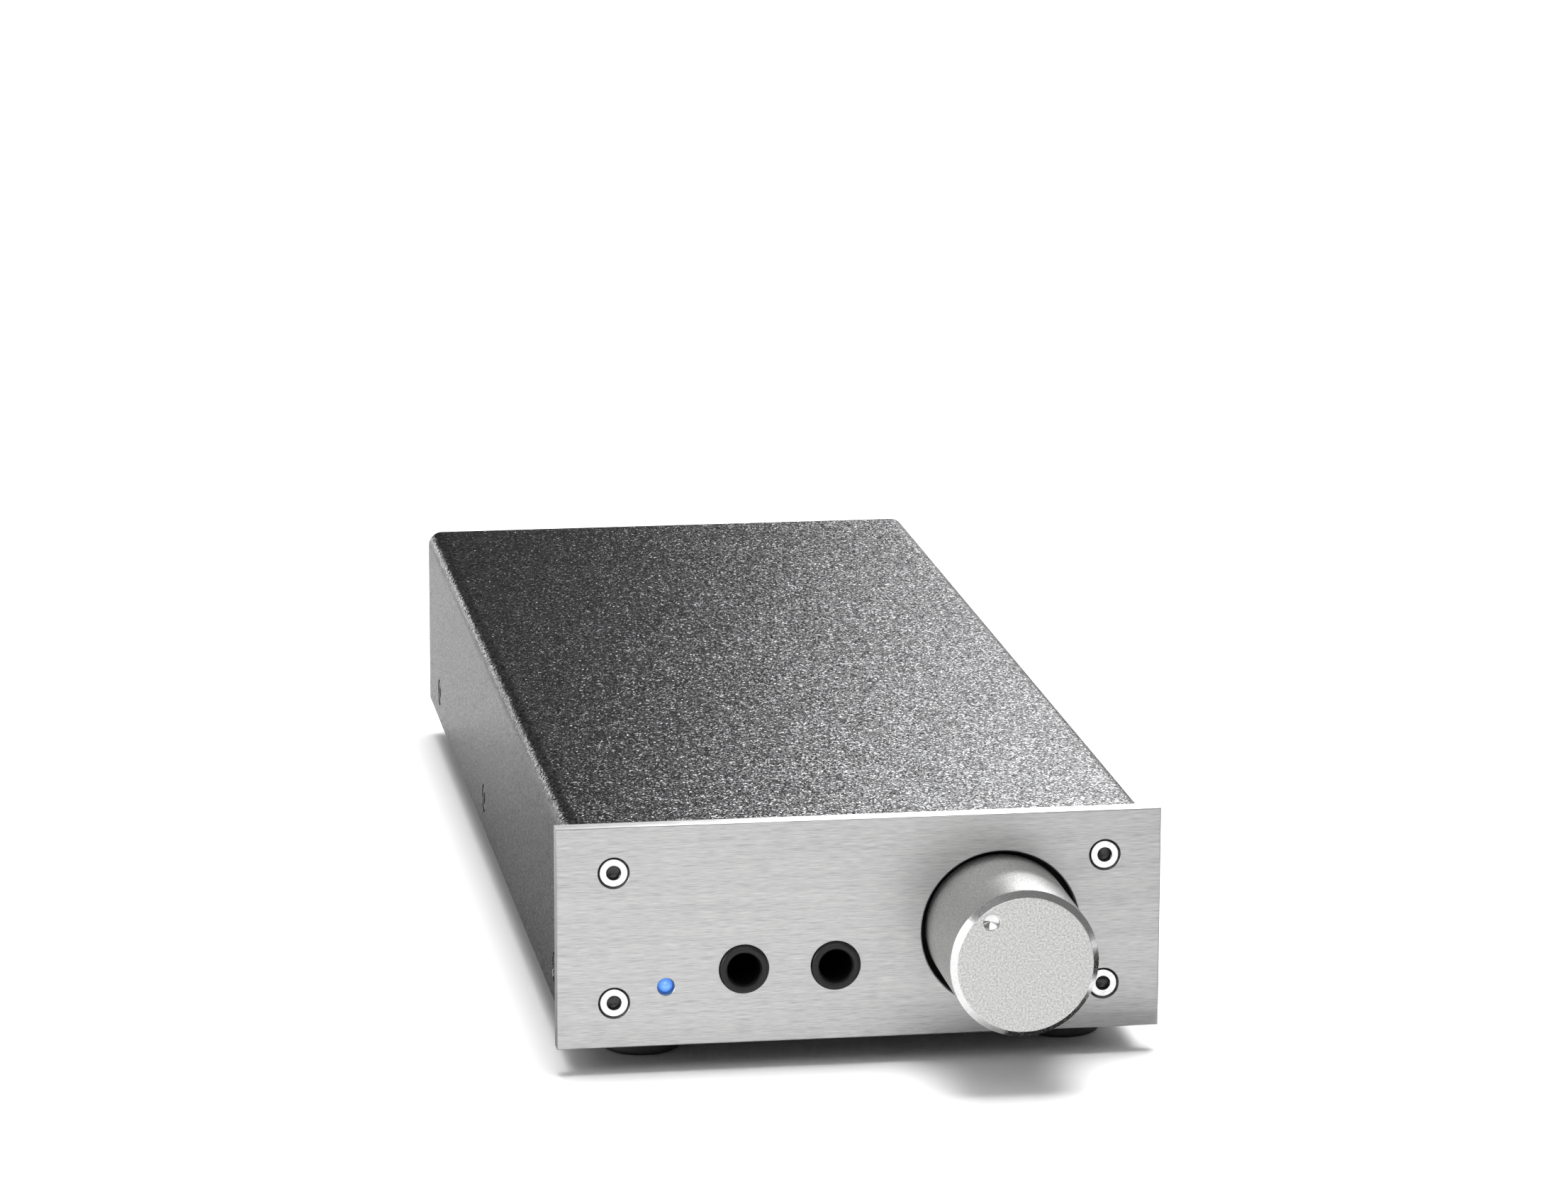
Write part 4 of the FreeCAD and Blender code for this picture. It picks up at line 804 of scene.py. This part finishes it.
def switch_rocker():
    """Rocker with a smooth valley across its face and the two marks of its positions."""
    pivot = axis_point(corners("switch_frame"), REAR_WALL_Y)
    half, mid, back, width, tilt = 7.6, 2.6, 5.0, 10.4, math.radians(12)
    rise = half * math.tan(tilt)

    def face(z):
        return mid + rise * (z / half) ** 2

    edge, steps = half - 0.4, 24
    heights = [edge - i * 2 * edge / steps for i in range(steps + 1)]
    crest = face(half)
    outline = [(0.5, half + 0.5), (crest - 0.7, half + 0.1), (crest - 0.25, half - 0.05)]
    outline += [(face(z), z) for z in heights]
    outline += [(crest - 0.25, 0.05 - half), (crest - 0.7, -half - 0.1), (0.5, -half - 0.5),
                (-back, -2.5), (-back, 2.5)]
    rocker = prism("rocker_key", [pivot + Vector((-width / 2, y, z)) for y, z in outline], X * width)
    soften(rocker, lambda m: abs(abs(m.x - pivot.x) - width / 2) < 0.01 and m.y > pivot.y + 1.5, 0.3)
    coat(rocker, MATERIAL["rocker_plastic"])
    pin_r, pin_length = 1.2, 12.4
    pin_outline = rounded([(0, 0, 0), (pin_r, 0, 0.2), (pin_r, pin_length, 0.2), (0, pin_length, 0)], 4)
    pin = lathe("pin", pivot - X * pin_length / 2, X, pin_outline, 48)
    combine(rocker, [pin], "UNION")
    mark_half, stroke, sunk, proud = 1.4, 0.35, 0.02, 0.06
    ring = lathe("rocker_ring_mark", Vector((0, -sunk, 0)), Y, [
        (mark_half - stroke, 0), (mark_half, 0), (mark_half, sunk + proud),
        (mark_half - stroke, sunk + proud)], 48)
    bar = block("rocker_bar_mark", (-0.2, -sunk, -mark_half), (0.2, proud, mark_half))
    for mark, z in ((ring, -4.6), (bar, 4.6)):
        slope = math.atan(2 * rise * z / half ** 2)
        place = Matrix.Translation(Vector((pivot.x, pivot.y + face(z), pivot.z + z)) * MM)
        mark.data.transform(place @ Matrix.Rotation(-slope, 4, "X"))
    for piece in (rocker, ring, bar):
        piece.data.transform(turned_about(pivot, tilt, "X"))
    dress(rocker, "power_rocker", "rocker_plastic", "switch_rocker")
    dress(ring, "power_rocker", "white_plastic")
    dress(bar, "power_rocker", "white_plastic")


# ---- studio ------------------------------------------------------------------------------------
def studio_floor():
    """Plain pale floor."""
    size = 2200
    floor = make("studio_floor", [(-size, -size, 0), (size, -size, 0), (size, size, 0), (-size, size, 0)],
                 [(0, 1, 2, 3)])
    material, _ = shader("floor_white", Base_Color=(0.93, 0.93, 0.93), Roughness=0.9, Specular_IOR_Level=0.1)
    coat(floor, material)


def flags():
    """Dark cards lying on the floor, seen only in reflections. Two of them are painted shade: the floor's
    shadow under the knob and beside the left side, as the metal reflects it. Their tone runs along Y from
    front to rear.
    """
    dark, grey = ((0.0, 0.01), (1.0, 0.01)), ((0.0, 0.12), (1.0, 0.12))
    # Painted shade beside the left side: darkest at the front, lighter to the rear.
    shadow_fading_to_rear = ((0.0, 0.25), (0.30, 0.42), (0.45, 0.72), (1.0, 0.76))
    height = 0.4
    for name, tones, outline in (
            ("flag_right", dark,
             [(92, -156), (115, -300), (260, -420), (260, -20), (72, -20), (78, -134)]),
            # Painted shadow of the knob on the floor, seen in reflections.
            ("painted_knob_shadow_card", dark, [(24, -160), (70, -160), (70, -144), (24, -144)]),
            ("flag_rear_right", grey, [(60, 60), (220, 60), (220, 540), (60, 540)]),
            # Painted shade of the floor beside the left side, seen in reflections.
            ("painted_left_shadow_card", shadow_fading_to_rear, [(-58, -130), (-58, 500), (-200, 500), (-200, -130)])):
        material, main = shader(name, Roughness=1.0, Specular_IOR_Level=0.0)
        place = node(material, "TexCoord").outputs["Generated"]
        along = node(material, "SeparateXYZ", Vector=place).outputs["Y"]
        drive(material, main, Base_Color=(along, tones))
        flag = make(name, [(x, y, height) for x, y in outline], [tuple(range(len(outline)))])
        flag.visible_camera = flag.visible_diffuse = False
        flag.visible_transmission = flag.visible_shadow = False
        coat(flag, material)


def softbox(name, place, target, width, height, watts, glossy=True):
    """Area light that either shows in gloss only or, with glossy=False, lights without a reflection."""
    data = bpy.data.lights.new(name, "AREA")
    data.shape, data.size, data.size_y, data.energy = "RECTANGLE", width, height, watts
    light = bpy.data.objects.new(name, data)
    SCENE.collection.objects.link(light)
    light.location = place
    light.rotation_euler = (Vector(target) - Vector(place)).to_track_quat("-Z", "Y").to_euler()
    light.visible_camera = False
    light.visible_glossy, light.visible_diffuse = glossy, not glossy
    return light


WORLD_GREY, WORLD_DARK = 0.26, 0.06     # levels that everything but the camera gets from the world
DARK_SIDE = Vector((-0.05, 1.0, 0.12)).normalized()
DARK_FROM, DARK_FULL = 0.80, 0.92       # cosines of the angle from DARK_SIDE at the patch's soft edge


def studio_world():
    """White as the camera sees it; otherwise grey, with a dark patch behind the object."""
    world = bpy.data.worlds.new("studio")
    SCENE.world = world
    world.use_nodes = True
    background = world.node_tree.nodes["Background"]
    background.inputs["Color"].default_value = (1, 1, 1, 1)
    direction = node(world, "TexCoord").outputs["Generated"]
    towards = node(world, "VectorMath", operation="DOT_PRODUCT")
    join(world, direction, towards.inputs[0])
    towards.inputs[1].default_value = DARK_SIDE
    nearness = towards.outputs["Value"]
    grey = node(world, "MapRange", Value=nearness, From_Min=DARK_FROM, From_Max=DARK_FULL,
                To_Min=WORLD_GREY, To_Max=WORLD_DARK).outputs["Result"]
    seen = node(world, "LightPath").outputs["Is Camera Ray"]
    level = node(world, "MapRange", Value=seen, To_Min=grey).outputs["Result"]
    join(world, level, background.inputs["Strength"])


def studio_lights():
    """Two overhead lights for the floor and its soft shadows, and boxes that show as gloss. The last box
    lights only the front panel."""
    softbox("overhead_main", (0.35, 0.45, 5.0), (0, 0, 0), 3.0, 3.0, 350, glossy=False)
    softbox("overhead_fill", (0, 0, 5.0), (0, 0, 0), 12.0, 12.0, 250, glossy=False)
    softbox("rear_key", (0.22, 0.31, 0.39), (0.0, -0.08, 0.04), 0.34, 0.06, 1.3)
    softbox("rear_box", (0.84, 2.0, 0.85), (0, 0, 0.05), 1.0, 0.8, 18.0)
    softbox("left_box", (-1.0, -0.3, 0.35), (0, -0.1, 0.03), 0.5, 0.5, 6.0)
    softbox("front_box", (-0.3, -1.5, 0.50), (0, -0.13, 0.03), 1.6, 0.9, 2.4)
    softbox("front_top", (-0.1, -1.3, 1.00), (0, -0.13, 0.03), 1.6, 0.8, 12.0)
    softbox("low_strip", (-0.55, 2.0, 0.05), (-0.058, 0, 0.045), 0.5, 0.25, 2.6)
    edge = softbox("edge_light", (0.22, 1.32, 0.37), (0, -0.13, 0.05), 1.4, 0.5, 2.6)
    only = bpy.data.collections.new("lit_by_edge_light")
    only.objects.link(bpy.data.objects["panel_plate"])
    edge.light_linking.receiver_collection = only


LENS, SENSOR = 136.24, 36.0
CAMERA_AT = (-0.186745, -1.240999, 0.345577)
YAW, PITCH, ROLL = math.radians(8.80), math.radians(12.53), math.radians(0.153)


def camera():
    """Long lens from the left front, above the object."""
    data = bpy.data.cameras.new("camera")
    data.lens, data.sensor_width, data.clip_start, data.clip_end = LENS, SENSOR, 0.05, 50.0
    obj = bpy.data.objects.new("camera", data)
    SCENE.collection.objects.link(obj)
    turn = Matrix.Rotation(-YAW, 3, "Z") @ Matrix.Rotation(math.pi / 2 - PITCH, 3, "X")
    turn = turn @ Matrix.Rotation(ROLL, 3, "Z")
    obj.matrix_world = Matrix.Translation(CAMERA_AT) @ turn.to_4x4()
    SCENE.camera = obj


SCENE.view_settings.view_transform = "Standard"
paint_cad_nodes()
front_panel()
panel_screws()
cover_screws()
top_cover()
feet()
volume_knob()
headphone_jacks()
power_lamp()
sheet_metal_and_mouldings()
base_tray()
rear_socket_parts()
fuse()
switch_rocker()
studio_floor()
flags()
studio_world()
studio_lights()
camera()
